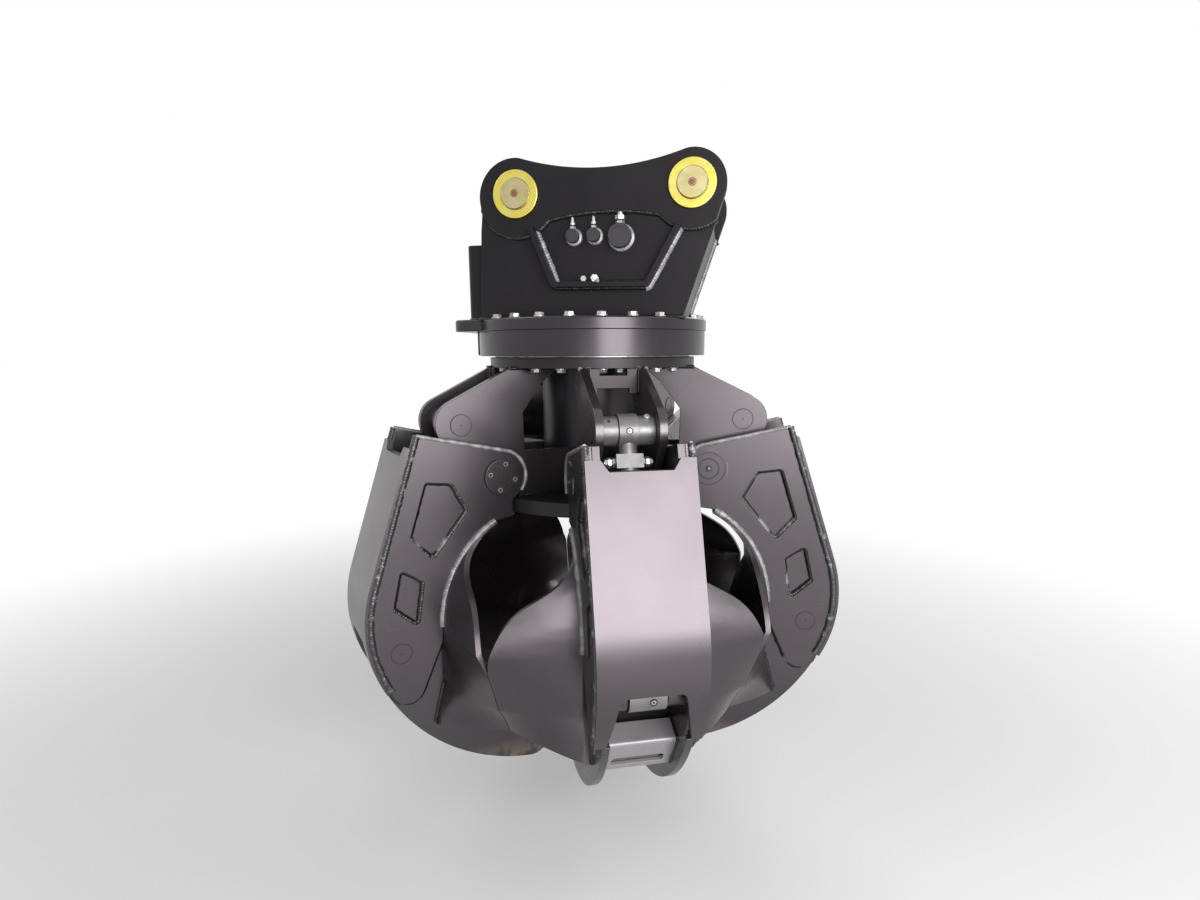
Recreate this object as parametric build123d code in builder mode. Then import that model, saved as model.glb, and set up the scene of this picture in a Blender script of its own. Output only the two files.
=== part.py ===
from build123d import *
from math import asin, atan2, cos, degrees, hypot, radians, sin, sqrt, tan
import os

# Five-tine rotating grapple that hangs from the two pins of an excavator's stick and link.
# Pieces are drawn about the slew axis, with z = 0 on the underside of the hub's top flange,
# and the tine pieces along +X. At the end each one is put in the part's own frame, whose
# origin is the centre of the stick pin: +X runs to the link pin, +Y along the pins, +Z up.

# Frame
stick_pin_to_slew = 173
stick_pin_height = 475
tine_count = 5
first_tine_angle = -68.94

# Tine linkage, as radius from the slew axis and height
pivot = (368, -301)
ear = (467, -154)
low_eye = (676, -772)

# Tine box
box_inner_half = 95
side_plate_thickness = 20
cheek_thickness = 16
back_plate_thickness = 16
back_plate_half = 136
pivot_boss_radius = 75
top_edge_slope = 12.5
stop_angle = 245
stop_bottom = -420

# Back plate: a flat run that leans out, then a rolled run
back_top = (629, -202)
back_bend = (750, -572)
back_roll_radius = 398
back_roll_angle = 46.4
notch_top_half = 99
notch_bottom_half = 79
notch_depth = 28
eye_window_top = -738
eye_window_bottom = -900
eye_window_top_half = 78
eye_window_bottom_half = 110
eye_window_corner = 16

# Arm below the cheeks
arm_mid = (578, -1074)
arm_end = (300, -1206)
arm_tip_round = (242, -1190)
arm_tip_r = 226
arm_tip_low = -1135

# Cheek nose and windows
nose_centre = (663, -880)
nose_radius = 45
nose_angles = (275, 207)
cheek_waist = (559, -758)
upper_window = [(586, -298), (510, -308), (467, -390), (568, -514), (582, -510), (635, -449)]
lower_window = [(665, -531), (601, -577), (622, -708), (692, -644)]
window_corner = 12

# Leaf: the plate that closes the tine on the inside and spreads into two wings.
# Each row is radius, height, the way to the plate's inner face, and how fast the wing bows
# inwards with the square of its sideways reach.
leaf_thickness = 14
leaf_top = (391, -427, -0.52, -0.85, 0.00030)
leaf_curve = (513, -548, -0.86, -0.50, 0.00024)
leaf_wall = (557, -714, -1.0, 0.0, 0.00013)
leaf_low_wall = (558, -890, -1.0, 0.0, 0.00076)
leaf_crease = (589, -1009, -1.15, 0.95, 0.00181)
leaf_tip_r = 50
floor_slope = 0.232
floor_rise = 0.369
wing_reach = 380
wing_edge = [(192, -550), (283, -600), (337, -650), (365, -700), (374, -770)]
wing_root_height = -470
wing_tangents = ((0.3, -1), (0, -1))
leaf_gap = 1.0
leaf_top_margin = 20

# Cross box behind the low eye
cross_box_path = [(590, -897), (655, -922), (588, -1030)]
cross_box_thickness = 10
drain_slot_start = 70
drain_slot_height = 36
drain_slot_width = 140

# Pins and eyes
pivot_pin_radius = 30
ear_pin_radius = 29
low_pin_radius = 29
low_pin_waist_radius = 13
low_pin_waist_half = 50
collar_radius = 38
running_clearance = 0.1
pin_cap_radius = 51.5
pin_cap_thickness = 14

# Cylinder
rod_radius = 25
rod_eye_radius = 44
rod_eye_width = 50
eye_side_gap = 0.5
ear_pin_rise = 0.5
piston_length = 45
piston_gap = 7.6
port_block = (70, 52, 36)
port_block_start = 64
fitting_radius = 11
fitting_reach = 62
barrel_radius = 52.5
bore_radius = 41
gland_radius = 56
gland_length = 60
barrel_neck = 58
barrel_floor = 75
barrel_length = 365
low_eye_radius = 44
low_eye_width = 94
low_eye_bore = 30

# Hub
hub_half_width = 92.5
hub_plate_thickness = 22
hub_flange_radius = 319
hub_flange_thickness = 30
column_margin = 0.6
column_wall = 16
ear_radius = 72
hub_boss_radius = 62
hub_plate_top = (165, 318)
hub_window = [(120, -238), (277, -238), (280, -126), (216, -40)]
bottom_plate_top = -370
bottom_plate_thickness = 41
bottom_plate_radius = 350
stop_gap = 1.0
wing_foot_gap = 2
pivot_tube_radius = 52
web_outer = 318
web_thickness = 18
web_height = 68
web_notch = (76, 18)
web_arch = (90, 14)

# Slewing ring and its drive
ring_gap = 4
ring_thickness = 72
outer_ring_radius = 350
race_radius = 304
race_clearance = 0.4
gear_module = 8
ring_teeth = 64
pinion_teeth = 16
pinion_height = 54
pinion_drop = 8
pinion_shaft_radius = 25
shaft_reach = 12
shaft_bore_margin = 2
motor_flange = (95, 18)
gearbox = (75, 92)
motor = (52, 70)

# Flange and swivel
flange_radius = 353
flange_thickness = 34
flange_left = 393
flange_left_half = 190
flange_corner = 50
flange_edge = 4
swivel_hole = 60
swivel_core_radius = 40
swivel_core_top = 232
swivel_core_foot = 14
swivel_foot_gap = 2
swivel_housing_radius = 75
swivel_housing_height = 75
bolt_circle = 330
bolt_step_angle = 15
bolt_head_radius = 14
bolt_head_height = 12
ring_bolt_circle = 290
ring_bolt_angles_in_bay = (-28, -5, 5, 28)
ring_guard = (40, 70, 12)
ring_guard_gap = 2

# Head
head_half_width = 202
head_plate_thickness = 25
doubler_thickness = 12
stick_pin = (-173, 475)
link_pin = (314, 483.5)
stick_ear_radius = 96
link_ear_radius = 91
head_left = (-293, -283)
head_right_bottom = 295
head_left_bend = 380
stick_ear_bulge = 12
stick_angles = (84, 140, 196)
link_top_angle = 102
doubler_angles = (-60, -118)
valley = (60, 536)
head_top = 700
doubler_round = 92
doubler_margin = 20
doubler_crest = (99, 425)
pin_radius = 40
pin_disc_radius = 64
pin_disc_thickness = 12
pin_end_height = 8
ear_ring_radius = 70
ear_ring_thickness = 12
end_plate_thickness = 16
end_plate_lean = 0.334
end_plate_inset = 8
end_plate_top = 392
cover_depth = 87
cover_middle = -296.5
cover_corner = 24
cover_height = 210
cover_thickness = 6
cover_play = 1
guard_bar_thickness = 14
guard_bar_depth = 42
guard_path = [(-122, 386), (-61, 237), (191, 234), (274, 383)]
port_stubs = [(-12, 359, 18.5, 34), (47, 360, 18.5, 34), (121, 355, 32, 40)]
port_fitting_rise = 30
port_fitting_place = 0.55
port_fitting_share = 0.42

# Values worked out from the ones above
cheek_inner = box_inner_half + side_plate_thickness
cheek_outer = cheek_inner + cheek_thickness
sector_half = 180 / tine_count
hub_inner_half = hub_half_width - hub_plate_thickness
column_radius = hub_half_width / sin(radians(sector_half)) + column_margin
lean = atan2(back_bend[0] - back_top[0], back_top[1] - back_bend[1])
roll_centre = (
    back_bend[0] - back_roll_radius * cos(lean),
    back_bend[1] - back_roll_radius * sin(lean),
)
roll_start = degrees(lean)
roll_end = roll_start - back_roll_angle
trim_reach = low_eye[0] + wing_reach
trim_bottom = arm_end[1] - 2 * leaf_top_margin
bottom_plate_flat = pivot[0] + pivot_boss_radius * cos(radians(stop_angle)) - stop_gap
cylinder_length = hypot(low_eye[0] - ear[0], low_eye[1] - ear[1])
piston_end = barrel_length - gland_length - piston_gap - piston_length
rod_reach = cylinder_length - piston_end
main_ring_base = hub_flange_thickness + ring_gap
flange_base = main_ring_base + ring_thickness
flange_top = flange_base + flange_thickness
pinion_centre = gear_module * (ring_teeth - pinion_teeth) / 2
slew_place = Location((stick_pin_to_slew, 0, -stick_pin_height))

os.makedirs("parts", exist_ok=True)


def about(centre, radius, angle):
    """Point at a radius and an angle from a centre."""
    return (centre[0] + radius * cos(radians(angle)), centre[1] + radius * sin(radians(angle)))


def floor_height(r, side):
    """Height of the leaf's floor at a radius and a sideways offset."""
    crease_drop = floor_slope * (leaf_crease[0] - r)
    return leaf_crease[1] - crease_drop + floor_rise * (side - cheek_outer)


def write_piece(name, shape, turn=0):
    """Put a finished piece in the part's frame, label it and write it."""
    with BuildPart() as placed:
        with Locations(slew_place * Rotation(0, 0, turn)):
            add(shape)
    placed.part.label = name
    export_step(placed.part, f"parts/{name}.step")


def side_plane(offset):
    """Upright plane through the tine's length, at a sideways offset."""
    return Plane.XZ.offset(-offset)


# Back plate of a tine, drawn first because the side plates end on its inner face
with BuildPart() as back_plate:
    inset = back_plate_thickness
    with BuildSketch(Plane.XZ):
        with BuildLine():
            top_in = (back_top[0] - inset * cos(lean), back_top[1] - inset * sin(lean))
            bend_in = about(roll_centre, back_roll_radius - inset, roll_start)
            Line(back_top, back_bend)
            CenterArc(roll_centre, back_roll_radius, roll_start, -back_roll_angle)
            Line(
                about(roll_centre, back_roll_radius, roll_end),
                about(roll_centre, back_roll_radius - inset, roll_end),
            )
            CenterArc(roll_centre, back_roll_radius - inset, roll_start, -back_roll_angle)
            Line(bend_in, top_in)
            Line(top_in, back_top)
        make_face()
    extrude(amount=back_plate_half, both=True)
    with BuildSketch(Plane.YZ.offset(back_top[0] - 2 * inset)):
        with BuildLine():
            Polyline(
                (-notch_top_half, back_top[1] + 1),
                (-notch_bottom_half, back_top[1] - notch_depth),
                (notch_bottom_half, back_top[1] - notch_depth),
                (notch_top_half, back_top[1] + 1),
                close=True,
            )
        make_face()
    extrude(amount=4 * inset, mode=Mode.SUBTRACT)
    with BuildSketch(Plane.YZ.offset(back_bend[0] - 6 * inset)) as eye_window:
        with BuildLine():
            Polyline(
                (-eye_window_bottom_half, eye_window_bottom),
                (-eye_window_top_half, eye_window_top),
                (eye_window_top_half, eye_window_top),
                (eye_window_bottom_half, eye_window_bottom),
                close=True,
            )
        make_face()
        fillet(eye_window.vertices().group_by(Axis.Y)[-1], eye_window_corner)
    extrude(amount=9 * inset, mode=Mode.SUBTRACT)


def plate_back_edges():
    """Edge of a side plate from its stop, over the pivot and down behind the back plate."""
    stop_top = about(pivot, pivot_boss_radius, stop_angle)
    top_start_angle = 90 + top_edge_slope
    top_start = about(pivot, pivot_boss_radius, top_start_angle)
    top_in = (
        back_top[0] - back_plate_thickness * cos(lean),
        back_top[1] - back_plate_thickness * sin(lean),
    )
    slope = tan(radians(top_edge_slope))
    rise = tan(lean)
    corner_z = (top_in[0] + rise * top_in[1] - top_start[0] + top_start[1] / slope) / (rise + 1 / slope)
    corner = (top_in[0] + rise * (top_in[1] - corner_z), corner_z)
    Line((stop_top[0], stop_bottom), stop_top)
    CenterArc(pivot, pivot_boss_radius, top_start_angle, stop_angle - top_start_angle)
    Line(top_start, corner)
    Line(corner, about(roll_centre, back_roll_radius - back_plate_thickness, roll_start))
    CenterArc(
        roll_centre, back_roll_radius - back_plate_thickness, roll_start, -back_roll_angle
    )


def plate_leaf_edges():
    """Edge of a side plate that is welded along the upper wall of the leaf."""
    ThreePointArc(leaf_wall[:2], leaf_curve[:2], leaf_top[:2])
    Line(leaf_top[:2], (about(pivot, pivot_boss_radius, stop_angle)[0], stop_bottom))


roll_tail = about(roll_centre, back_roll_radius - back_plate_thickness, roll_end)

# Main side plates of a tine: from the pivot down to the tip of the arm
with BuildPart() as side_plates:
    with BuildSketch(side_plane(box_inner_half)):
        with BuildLine():
            plate_back_edges()
            arm_start = about(roll_centre, back_roll_radius, roll_end)
            tip_floor = (arm_tip_r, floor_height(arm_tip_r, cheek_outer))
            Line(roll_tail, arm_start)
            ThreePointArc(arm_start, arm_mid, arm_end)
            ThreePointArc(arm_end, arm_tip_round, (arm_tip_r, arm_tip_low))
            Line((arm_tip_r, arm_tip_low), tip_floor)
            Line(tip_floor, leaf_crease[:2])
            Line(leaf_crease[:2], leaf_low_wall[:2])
            Line(leaf_low_wall[:2], leaf_wall[:2])
            plate_leaf_edges()
        make_face()
        with Locations(pivot):
            Circle(pivot_pin_radius, mode=Mode.SUBTRACT)
        with Locations(low_eye):
            Circle(low_pin_radius, mode=Mode.SUBTRACT)
    extrude(amount=-side_plate_thickness)
    mirror(about=Plane.XZ)

# Cheek plates: doublers on the side plates, with two windows for slot welds
with BuildPart() as cheek_plates:
    with BuildSketch(side_plane(cheek_inner)):
        with BuildLine():
            plate_back_edges()
            nose_left = about(nose_centre, nose_radius, nose_angles[1])
            ThreePointArc(roll_tail, about(nose_centre, nose_radius, nose_angles[0]), nose_left)
            Line(nose_left, cheek_waist)
            Line(cheek_waist, leaf_wall[:2])
            plate_leaf_edges()
        make_face()
        with Locations(pivot):
            Circle(pivot_pin_radius, mode=Mode.SUBTRACT)
        with Locations(low_eye):
            Circle(low_pin_radius, mode=Mode.SUBTRACT)
    extrude(amount=-cheek_thickness)
    with BuildSketch(side_plane(cheek_inner)) as windows:
        with BuildLine():
            Polyline(*upper_window, close=True)
        make_face()
        with BuildLine():
            Polyline(*lower_window, close=True)
        make_face()
        fillet(windows.vertices(), window_corner)
    extrude(amount=-cheek_thickness, mode=Mode.SUBTRACT)
    mirror(about=Plane.XZ)


def leaf_section(side):
    """Closed edge of the leaf's section on an upright plane at a sideways offset."""
    outer = []
    inner = []
    for r, z, in_r, in_z, bow in (leaf_top, leaf_curve, leaf_wall, leaf_low_wall, leaf_crease):
        bowed_r = r - bow * (side**2 - cheek_outer**2)
        height = floor_height(bowed_r, side) if r == leaf_crease[0] else z
        outer.append((bowed_r, height))
        inner.append((bowed_r + in_r * leaf_thickness, height + in_z * leaf_thickness))
    tip = (leaf_tip_r, floor_height(leaf_tip_r, side))
    tip_in = (leaf_tip_r, tip[1] + leaf_thickness * sqrt(1 + floor_slope**2))
    ThreePointArc(outer[0], outer[1], outer[2])
    Polyline(outer[2], outer[3], outer[4], tip, tip_in, inner[4], inner[3], inner[2])
    ThreePointArc(inner[2], inner[1], inner[0])
    Line(inner[0], outer[0])


# Leaf: a plain strip behind the side plates and two bowed wings, trimmed to its sector
with BuildPart() as leaf:
    with BuildSketch(side_plane(cheek_outer)):
        with BuildLine():
            leaf_section(cheek_outer)
        make_face()
    extrude(amount=cheek_outer)
    for side in (cheek_outer, (cheek_outer + wing_reach) / 2, wing_reach):
        with BuildSketch(side_plane(side)):
            with BuildLine():
                leaf_section(side)
            make_face()
    loft()
    mirror(about=Plane.XZ)
    with BuildSketch(Plane.YZ):
        with BuildLine():
            Spline((cheek_outer, wing_root_height), *wing_edge, tangents=wing_tangents)
            Polyline(
                (cheek_outer, wing_root_height),
                (cheek_outer, leaf_top[1] + leaf_top_margin),
                (0, leaf_top[1] + leaf_top_margin),
                (0, trim_bottom),
                (wing_edge[-1][0], trim_bottom),
                wing_edge[-1],
            )
        make_face()
        mirror(about=Plane.YZ)
    extrude(amount=trim_reach, mode=Mode.INTERSECT)
    with BuildSketch(Plane.XY.offset(trim_bottom)):
        with BuildLine():
            spread = tan(radians(sector_half))
            apex = leaf_gap / sin(radians(sector_half))
            far_side = spread * (trim_reach - apex)
            Polyline((apex, 0), (trim_reach, far_side), (trim_reach, -far_side), close=True)
        make_face()
    extrude(amount=trim_reach, mode=Mode.INTERSECT)

# Cross box: a bent plate between the side plates, with a drain slot in its outer face
with BuildPart() as cross_box:
    with BuildSketch(Plane.XZ):
        with BuildLine():
            Polyline(*cross_box_path)
            offset(amount=cross_box_thickness, side=Side.RIGHT)
        make_face()
    extrude(amount=box_inner_half, both=True)
    fillet(cross_box.edges().filter_by(Axis.Y).sort_by(Axis.X)[-1], cross_box_thickness)
    bend, foot = cross_box_path[1], cross_box_path[2]
    face_length = hypot(bend[0] - foot[0], bend[1] - foot[1])
    down = Vector((foot[0] - bend[0]) / face_length, 0, (foot[1] - bend[1]) / face_length)
    slot_centre = Vector(bend[0], 0, bend[1]) + down * (drain_slot_start + drain_slot_height / 2)
    with BuildSketch(Plane(origin=slot_centre, x_dir=(0, 1, 0), z_dir=down.cross(Vector(0, 1, 0)))):
        RectangleRounded(drain_slot_width, drain_slot_height, drain_slot_height / 3)
    extrude(amount=2 * cross_box_thickness, both=True, mode=Mode.SUBTRACT)
    add(leaf.part, mode=Mode.SUBTRACT)

# Pivot pin with its bolted cap, and the low pin with a collar on each side of the barrel's eye
with BuildPart() as tine_pins:
    with BuildSketch(side_plane(-cheek_outer)):
        with Locations(pivot):
            Circle(pivot_pin_radius)
    extrude(amount=-2 * cheek_outer)
    with BuildSketch(side_plane(cheek_outer)):
        with Locations(pivot):
            Circle(pin_cap_radius)
    extrude(amount=-pin_cap_thickness)
    with BuildSketch(side_plane(low_pin_waist_half)):
        with Locations(low_eye):
            Circle(low_pin_radius)
    extrude(amount=-(cheek_outer - low_pin_waist_half))
    with BuildSketch(side_plane(low_pin_waist_half)):
        with Locations(low_eye):
            Circle(collar_radius)
    extrude(amount=-(box_inner_half - low_pin_waist_half))
    with BuildSketch(side_plane(-low_pin_waist_half)):
        with Locations(low_eye):
            Circle(low_pin_radius)
    extrude(amount=cheek_outer - low_pin_waist_half)
    with BuildSketch(side_plane(-low_pin_waist_half)):
        with Locations(low_eye):
            Circle(collar_radius)
    extrude(amount=box_inner_half - low_pin_waist_half)
    with BuildSketch(side_plane(-low_pin_waist_half)):
        with Locations(low_eye):
            Circle(low_pin_waist_radius)
    extrude(amount=-2 * low_pin_waist_half)

# Rod: eye at the hub's ear, chromed rod, piston, and the port block that feeds oil into it
down_rod = Vector(low_eye[0] - ear[0], 0, low_eye[1] - ear[1]).normalized()
rod_plane = Plane(origin=(ear[0], 0, ear[1]), x_dir=(0, 1, 0), z_dir=down_rod)
with BuildPart() as rod:
    with BuildSketch(Plane.XZ):
        with Locations(ear):
            Circle(rod_eye_radius)
    extrude(amount=rod_eye_width / 2, both=True)
    with BuildSketch(rod_plane):
        Circle(rod_radius)
    extrude(amount=rod_reach)
    with BuildSketch(rod_plane.offset(rod_reach - piston_length)):
        Circle(bore_radius - 2 * running_clearance)
    extrude(amount=piston_length)
    with BuildSketch(Plane.XZ):
        with Locations(ear):
            Circle(ear_pin_radius + running_clearance)
    extrude(amount=rod_eye_width, both=True, mode=Mode.SUBTRACT)
with BuildPart() as rod_block:
    with BuildSketch(rod_plane.offset(port_block_start)):
        Rectangle(port_block[0], port_block[1])
        Circle(rod_radius, mode=Mode.SUBTRACT)
    extrude(amount=port_block[2])
    fitting_origin = rod_plane.from_local_coords((0, 0, port_block_start + port_block[2] / 2))
    for end in (1, -1):
        fitting_plane = Plane(origin=fitting_origin, x_dir=down_rod, z_dir=(0, end, 0))
        with BuildSketch(fitting_plane.offset(port_block[0] / 2)):
            RegularPolygon(fitting_radius, 6)
        extrude(amount=fitting_reach - port_block[0] / 2)
with BuildPart() as cylinder_rod:
    add(rod.part)
    add(rod_block.part)

# Barrel: base with a wide eye at the tine's low pin, tube and gland
barrel_plane = Plane(origin=(low_eye[0], 0, low_eye[1]), x_dir=(0, 1, 0), z_dir=-down_rod)
with BuildPart() as cylinder_barrel:
    with BuildSketch(Plane.XZ):
        with Locations(low_eye):
            Circle(low_eye_radius)
    extrude(amount=low_eye_width / 2, both=True)
    with BuildSketch(barrel_plane):
        Rectangle(low_eye_width, 2 * low_eye_radius)
    extrude(amount=barrel_neck)
    with BuildSketch(barrel_plane.offset(barrel_neck)):
        Circle(barrel_radius)
    extrude(amount=barrel_length - gland_length - barrel_neck)
    with BuildSketch(barrel_plane.offset(barrel_length - gland_length)):
        Circle(gland_radius)
    extrude(amount=gland_length)
    with BuildSketch(barrel_plane.offset(barrel_floor)):
        Circle(bore_radius)
    extrude(amount=barrel_length - gland_length - barrel_floor, mode=Mode.SUBTRACT)
    with BuildSketch(barrel_plane.offset(barrel_floor)):
        Circle(rod_radius + 2 * running_clearance)
    extrude(amount=barrel_length, mode=Mode.SUBTRACT)
    with BuildSketch(Plane.XZ):
        with Locations(low_eye):
            Circle(low_eye_bore)
    extrude(amount=barrel_radius, both=True, mode=Mode.SUBTRACT)

# Hub spine: top flange, column and bottom plate, whose flats are the tines' closing stops
with BuildPart() as hub_spine:
    Cylinder(hub_flange_radius, hub_flange_thickness, align=(Align.CENTER, Align.CENTER, Align.MIN))
    with BuildSketch(Plane.XY.offset(bottom_plate_top)):
        Circle(column_radius)
    extrude(amount=-bottom_plate_top)
    with BuildSketch(Plane.XY.offset(bottom_plate_top)):
        Circle(bottom_plate_radius)
        RegularPolygon(
            bottom_plate_flat,
            tine_count,
            major_radius=False,
            rotation=sector_half,
            mode=Mode.INTERSECT,
        )
    extrude(amount=-bottom_plate_thickness)
    with BuildSketch(Plane.XY.offset(bottom_plate_top)):
        Circle(column_radius - column_wall)
    extrude(amount=-bottom_plate_top, mode=Mode.SUBTRACT)
    with BuildSketch(Plane.XY):
        Circle(swivel_core_radius)
    extrude(amount=hub_flange_thickness, mode=Mode.SUBTRACT)

# Wing plates of the hub: a pair for each tine, with an ear above and the pivot below
with BuildPart() as wing_pair:
    ear_distance = hypot(ear[0] - hub_plate_top[1], ear[1])
    edge_angle = degrees(atan2(ear[1], ear[0] - hub_plate_top[1]) + asin(ear_radius / ear_distance))
    lower_angle = degrees(atan2(pivot[1] - ear[1], pivot[0] - ear[0])) + 90
    with BuildSketch(side_plane(hub_inner_half)):
        with BuildLine():
            Polyline(*hub_window, (hub_plate_top[0], 0), (hub_plate_top[1], 0))
            Line((hub_plate_top[1], 0), about(ear, ear_radius, edge_angle + 90))
            CenterArc(ear, ear_radius, edge_angle + 90, lower_angle - edge_angle - 90)
            Line(about(ear, ear_radius, lower_angle), about(pivot, hub_boss_radius, lower_angle))
            CenterArc(pivot, hub_boss_radius, lower_angle, -90 - lower_angle)
            Polyline(
                about(pivot, hub_boss_radius, -90),
                (bottom_plate_flat - wing_foot_gap, bottom_plate_top),
                (hub_window[0][0], bottom_plate_top),
                hub_window[0],
            )
        make_face()
        with Locations(pivot):
            Circle(pivot_pin_radius + running_clearance, mode=Mode.SUBTRACT)
        with Locations(ear):
            Circle(ear_pin_radius, mode=Mode.SUBTRACT)
    extrude(amount=-hub_plate_thickness)
    mirror(about=Plane.XZ)
    with BuildSketch(Plane.XY.offset(bottom_plate_top)):
        Circle(column_radius)
    extrude(amount=-bottom_plate_top, mode=Mode.SUBTRACT)
with BuildPart() as hub_wing_plates:
    with PolarLocations(0, tine_count):
        add(wing_pair.part)

# Webs and pivot tubes between the wing plates of each pair
with BuildPart() as web_set:
    with BuildSketch(Plane.YZ.offset(web_outer - web_thickness)):
        with Locations((0, -web_height / 2)):
            Rectangle(2 * hub_inner_half, web_height)
        with Locations((0, -web_notch[1] / 2)):
            Rectangle(web_notch[0], web_notch[1], mode=Mode.SUBTRACT)
        with Locations((0, -web_height + web_arch[1] / 2)):
            Rectangle(web_arch[0], web_arch[1], mode=Mode.SUBTRACT)
    extrude(amount=web_thickness)
    with BuildSketch(Plane.XZ):
        with Locations(pivot):
            Circle(pivot_tube_radius)
            Circle(pivot_pin_radius + running_clearance, mode=Mode.SUBTRACT)
    extrude(amount=hub_inner_half, both=True)
with BuildPart() as hub_webs:
    with PolarLocations(0, tine_count):
        add(web_set.part)

# Ear pins, each with a collar on both sides of its rod eye
with BuildPart() as ear_pin:
    with BuildSketch(Plane.XZ):
        with Locations(ear):
            Circle(ear_pin_radius)
    extrude(amount=hub_half_width + ear_pin_rise, both=True)
    for end in (1, -1):
        with BuildSketch(side_plane(end * (rod_eye_width / 2 + eye_side_gap))):
            with Locations(ear):
                Circle(collar_radius)
        extrude(amount=-end * (hub_inner_half - rod_eye_width / 2 - eye_side_gap))
with BuildPart() as ear_pins:
    with PolarLocations(0, tine_count):
        add(ear_pin.part)


# Bolts that hold the hub's flange up to the gear ring
with BuildPart() as ring_bolts:
    ring_bolt_angles = []
    for number in range(tine_count):
        ring_bolt_angles += [number * 360 / tine_count + turn for turn in ring_bolt_angles_in_bay]
    with BuildSketch(Plane.XY):
        with Locations(*[about((0, 0), ring_bolt_circle, angle) for angle in ring_bolt_angles]):
            RegularPolygon(bolt_head_radius, 6)
    extrude(amount=-bolt_head_height)


def gear_points(teeth, tip, root, tip_width, root_width, turn):
    """Corners of straight-sided teeth round a circle, one tooth at each step."""
    points = []
    for number in range(teeth):
        middle = turn + number * 360 / teeth
        tip_half = degrees(tip_width / tip / 2)
        root_half = degrees(root_width / root / 2)
        points.append(about((0, 0), root, middle - root_half))
        points.append(about((0, 0), tip, middle - tip_half))
        points.append(about((0, 0), tip, middle + tip_half))
        points.append(about((0, 0), root, middle + root_half))
    return points


pitch_radius = gear_module * ring_teeth / 2
pinion_pitch = gear_module * pinion_teeth / 2
tooth_tip_width = 0.8 * gear_module
tooth_root_width = 1.75 * gear_module
tooth_addendum = 0.9 * gear_module
tooth_dedendum = 1.2 * gear_module

# Gear ring: the bearing's inner race, toothed inside, turning with the hub
with BuildPart() as inner_ring:
    with BuildSketch(Plane.XY.offset(hub_flange_thickness)):
        Circle(race_radius - race_clearance)
    extrude(amount=ring_thickness)
    with BuildSketch(Plane.XY.offset(hub_flange_thickness)):
        with BuildLine():
            Polyline(
                *gear_points(
                    ring_teeth,
                    pitch_radius - tooth_addendum,
                    pitch_radius + tooth_dedendum,
                    tooth_tip_width,
                    tooth_root_width,
                    180 / ring_teeth,
                ),
                close=True,
            )
        make_face()
    extrude(amount=ring_thickness, mode=Mode.SUBTRACT)

# Drive pinion on the slew motor's shaft
with BuildPart() as drive_pinion:
    pinion_base = flange_base - pinion_height - pinion_drop
    pinion_plane = Plane(origin=(-pinion_centre, 0, pinion_base))
    with BuildSketch(pinion_plane):
        with BuildLine():
            Polyline(
                *gear_points(
                    pinion_teeth,
                    pinion_pitch + tooth_addendum,
                    pinion_pitch - tooth_dedendum,
                    tooth_tip_width,
                    tooth_root_width,
                    0,
                ),
                close=True,
            )
        make_face()
    extrude(amount=pinion_height)
    with BuildSketch(pinion_plane.offset(pinion_height)):
        Circle(pinion_shaft_radius)
    extrude(amount=flange_top + shaft_reach - pinion_base - pinion_height)

# Outer race of the slewing ring
with BuildPart() as outer_ring:
    with BuildSketch(Plane.XY.offset(main_ring_base)):
        Circle(outer_ring_radius)
        Circle(race_radius, mode=Mode.SUBTRACT)
    extrude(amount=ring_thickness)

# Base flange of the head, longer on the stick side, with the guard plate that hangs from it
with BuildPart() as base_flange:
    with BuildSketch(Plane.XY.offset(flange_base)):
        with Locations((-flange_left / 2, 0)):
            RectangleRounded(flange_left, 2 * flange_left_half, flange_corner)
        Circle(flange_radius)
        Circle(swivel_hole, mode=Mode.SUBTRACT)
        with Locations((-pinion_centre, 0)):
            Circle(gearbox[0], mode=Mode.SUBTRACT)
    extrude(amount=flange_thickness)
    chamfer(base_flange.faces().sort_by(Axis.Z)[-1].outer_wire().edges(), flange_edge)
    with BuildSketch(Plane.XY.offset(flange_base - ring_guard[1])):
        with Locations((-outer_ring_radius - ring_guard[2] / 2 - ring_guard_gap, 0)):
            Rectangle(ring_guard[2], 2 * ring_guard[0])
    extrude(amount=ring_guard[1])


def head_outline():
    """Edges of a head side plate: foot, link ear, valley and stick ear."""
    slant_foot = (head_right_bottom, flange_top)
    reach = hypot(link_pin[0] - slant_foot[0], link_pin[1] - slant_foot[1])
    slant = degrees(atan2(link_pin[1] - slant_foot[1], link_pin[0] - slant_foot[0]))
    slant -= degrees(asin(link_ear_radius / reach))
    link_touch = about(link_pin, link_ear_radius, slant - 90)
    link_top = about(link_pin, link_ear_radius, link_top_angle)
    stick_top = about(stick_pin, stick_ear_radius, stick_angles[0])
    stick_side = about(stick_pin, stick_ear_radius + stick_ear_bulge / 2, stick_angles[1])
    stick_left = about(stick_pin, stick_ear_radius + stick_ear_bulge, stick_angles[2])
    Line(slant_foot, link_touch)
    CenterArc(link_pin, link_ear_radius, slant - 90, link_top_angle + 90 - slant)
    ThreePointArc(link_top, valley, stick_top)
    ThreePointArc(stick_top, stick_side, stick_left)
    Polyline(stick_left, (head_left[1], head_left_bend), (head_left[0], flange_top), slant_foot)


# Side plates of the head
with BuildPart() as head_side_plates:
    with BuildSketch(side_plane(head_half_width - head_plate_thickness)):
        with BuildLine():
            head_outline()
        make_face()
        with Locations(stick_pin, link_pin):
            Circle(pin_radius, mode=Mode.SUBTRACT)
    extrude(amount=-head_plate_thickness)
    mirror(about=Plane.XZ)

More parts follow.
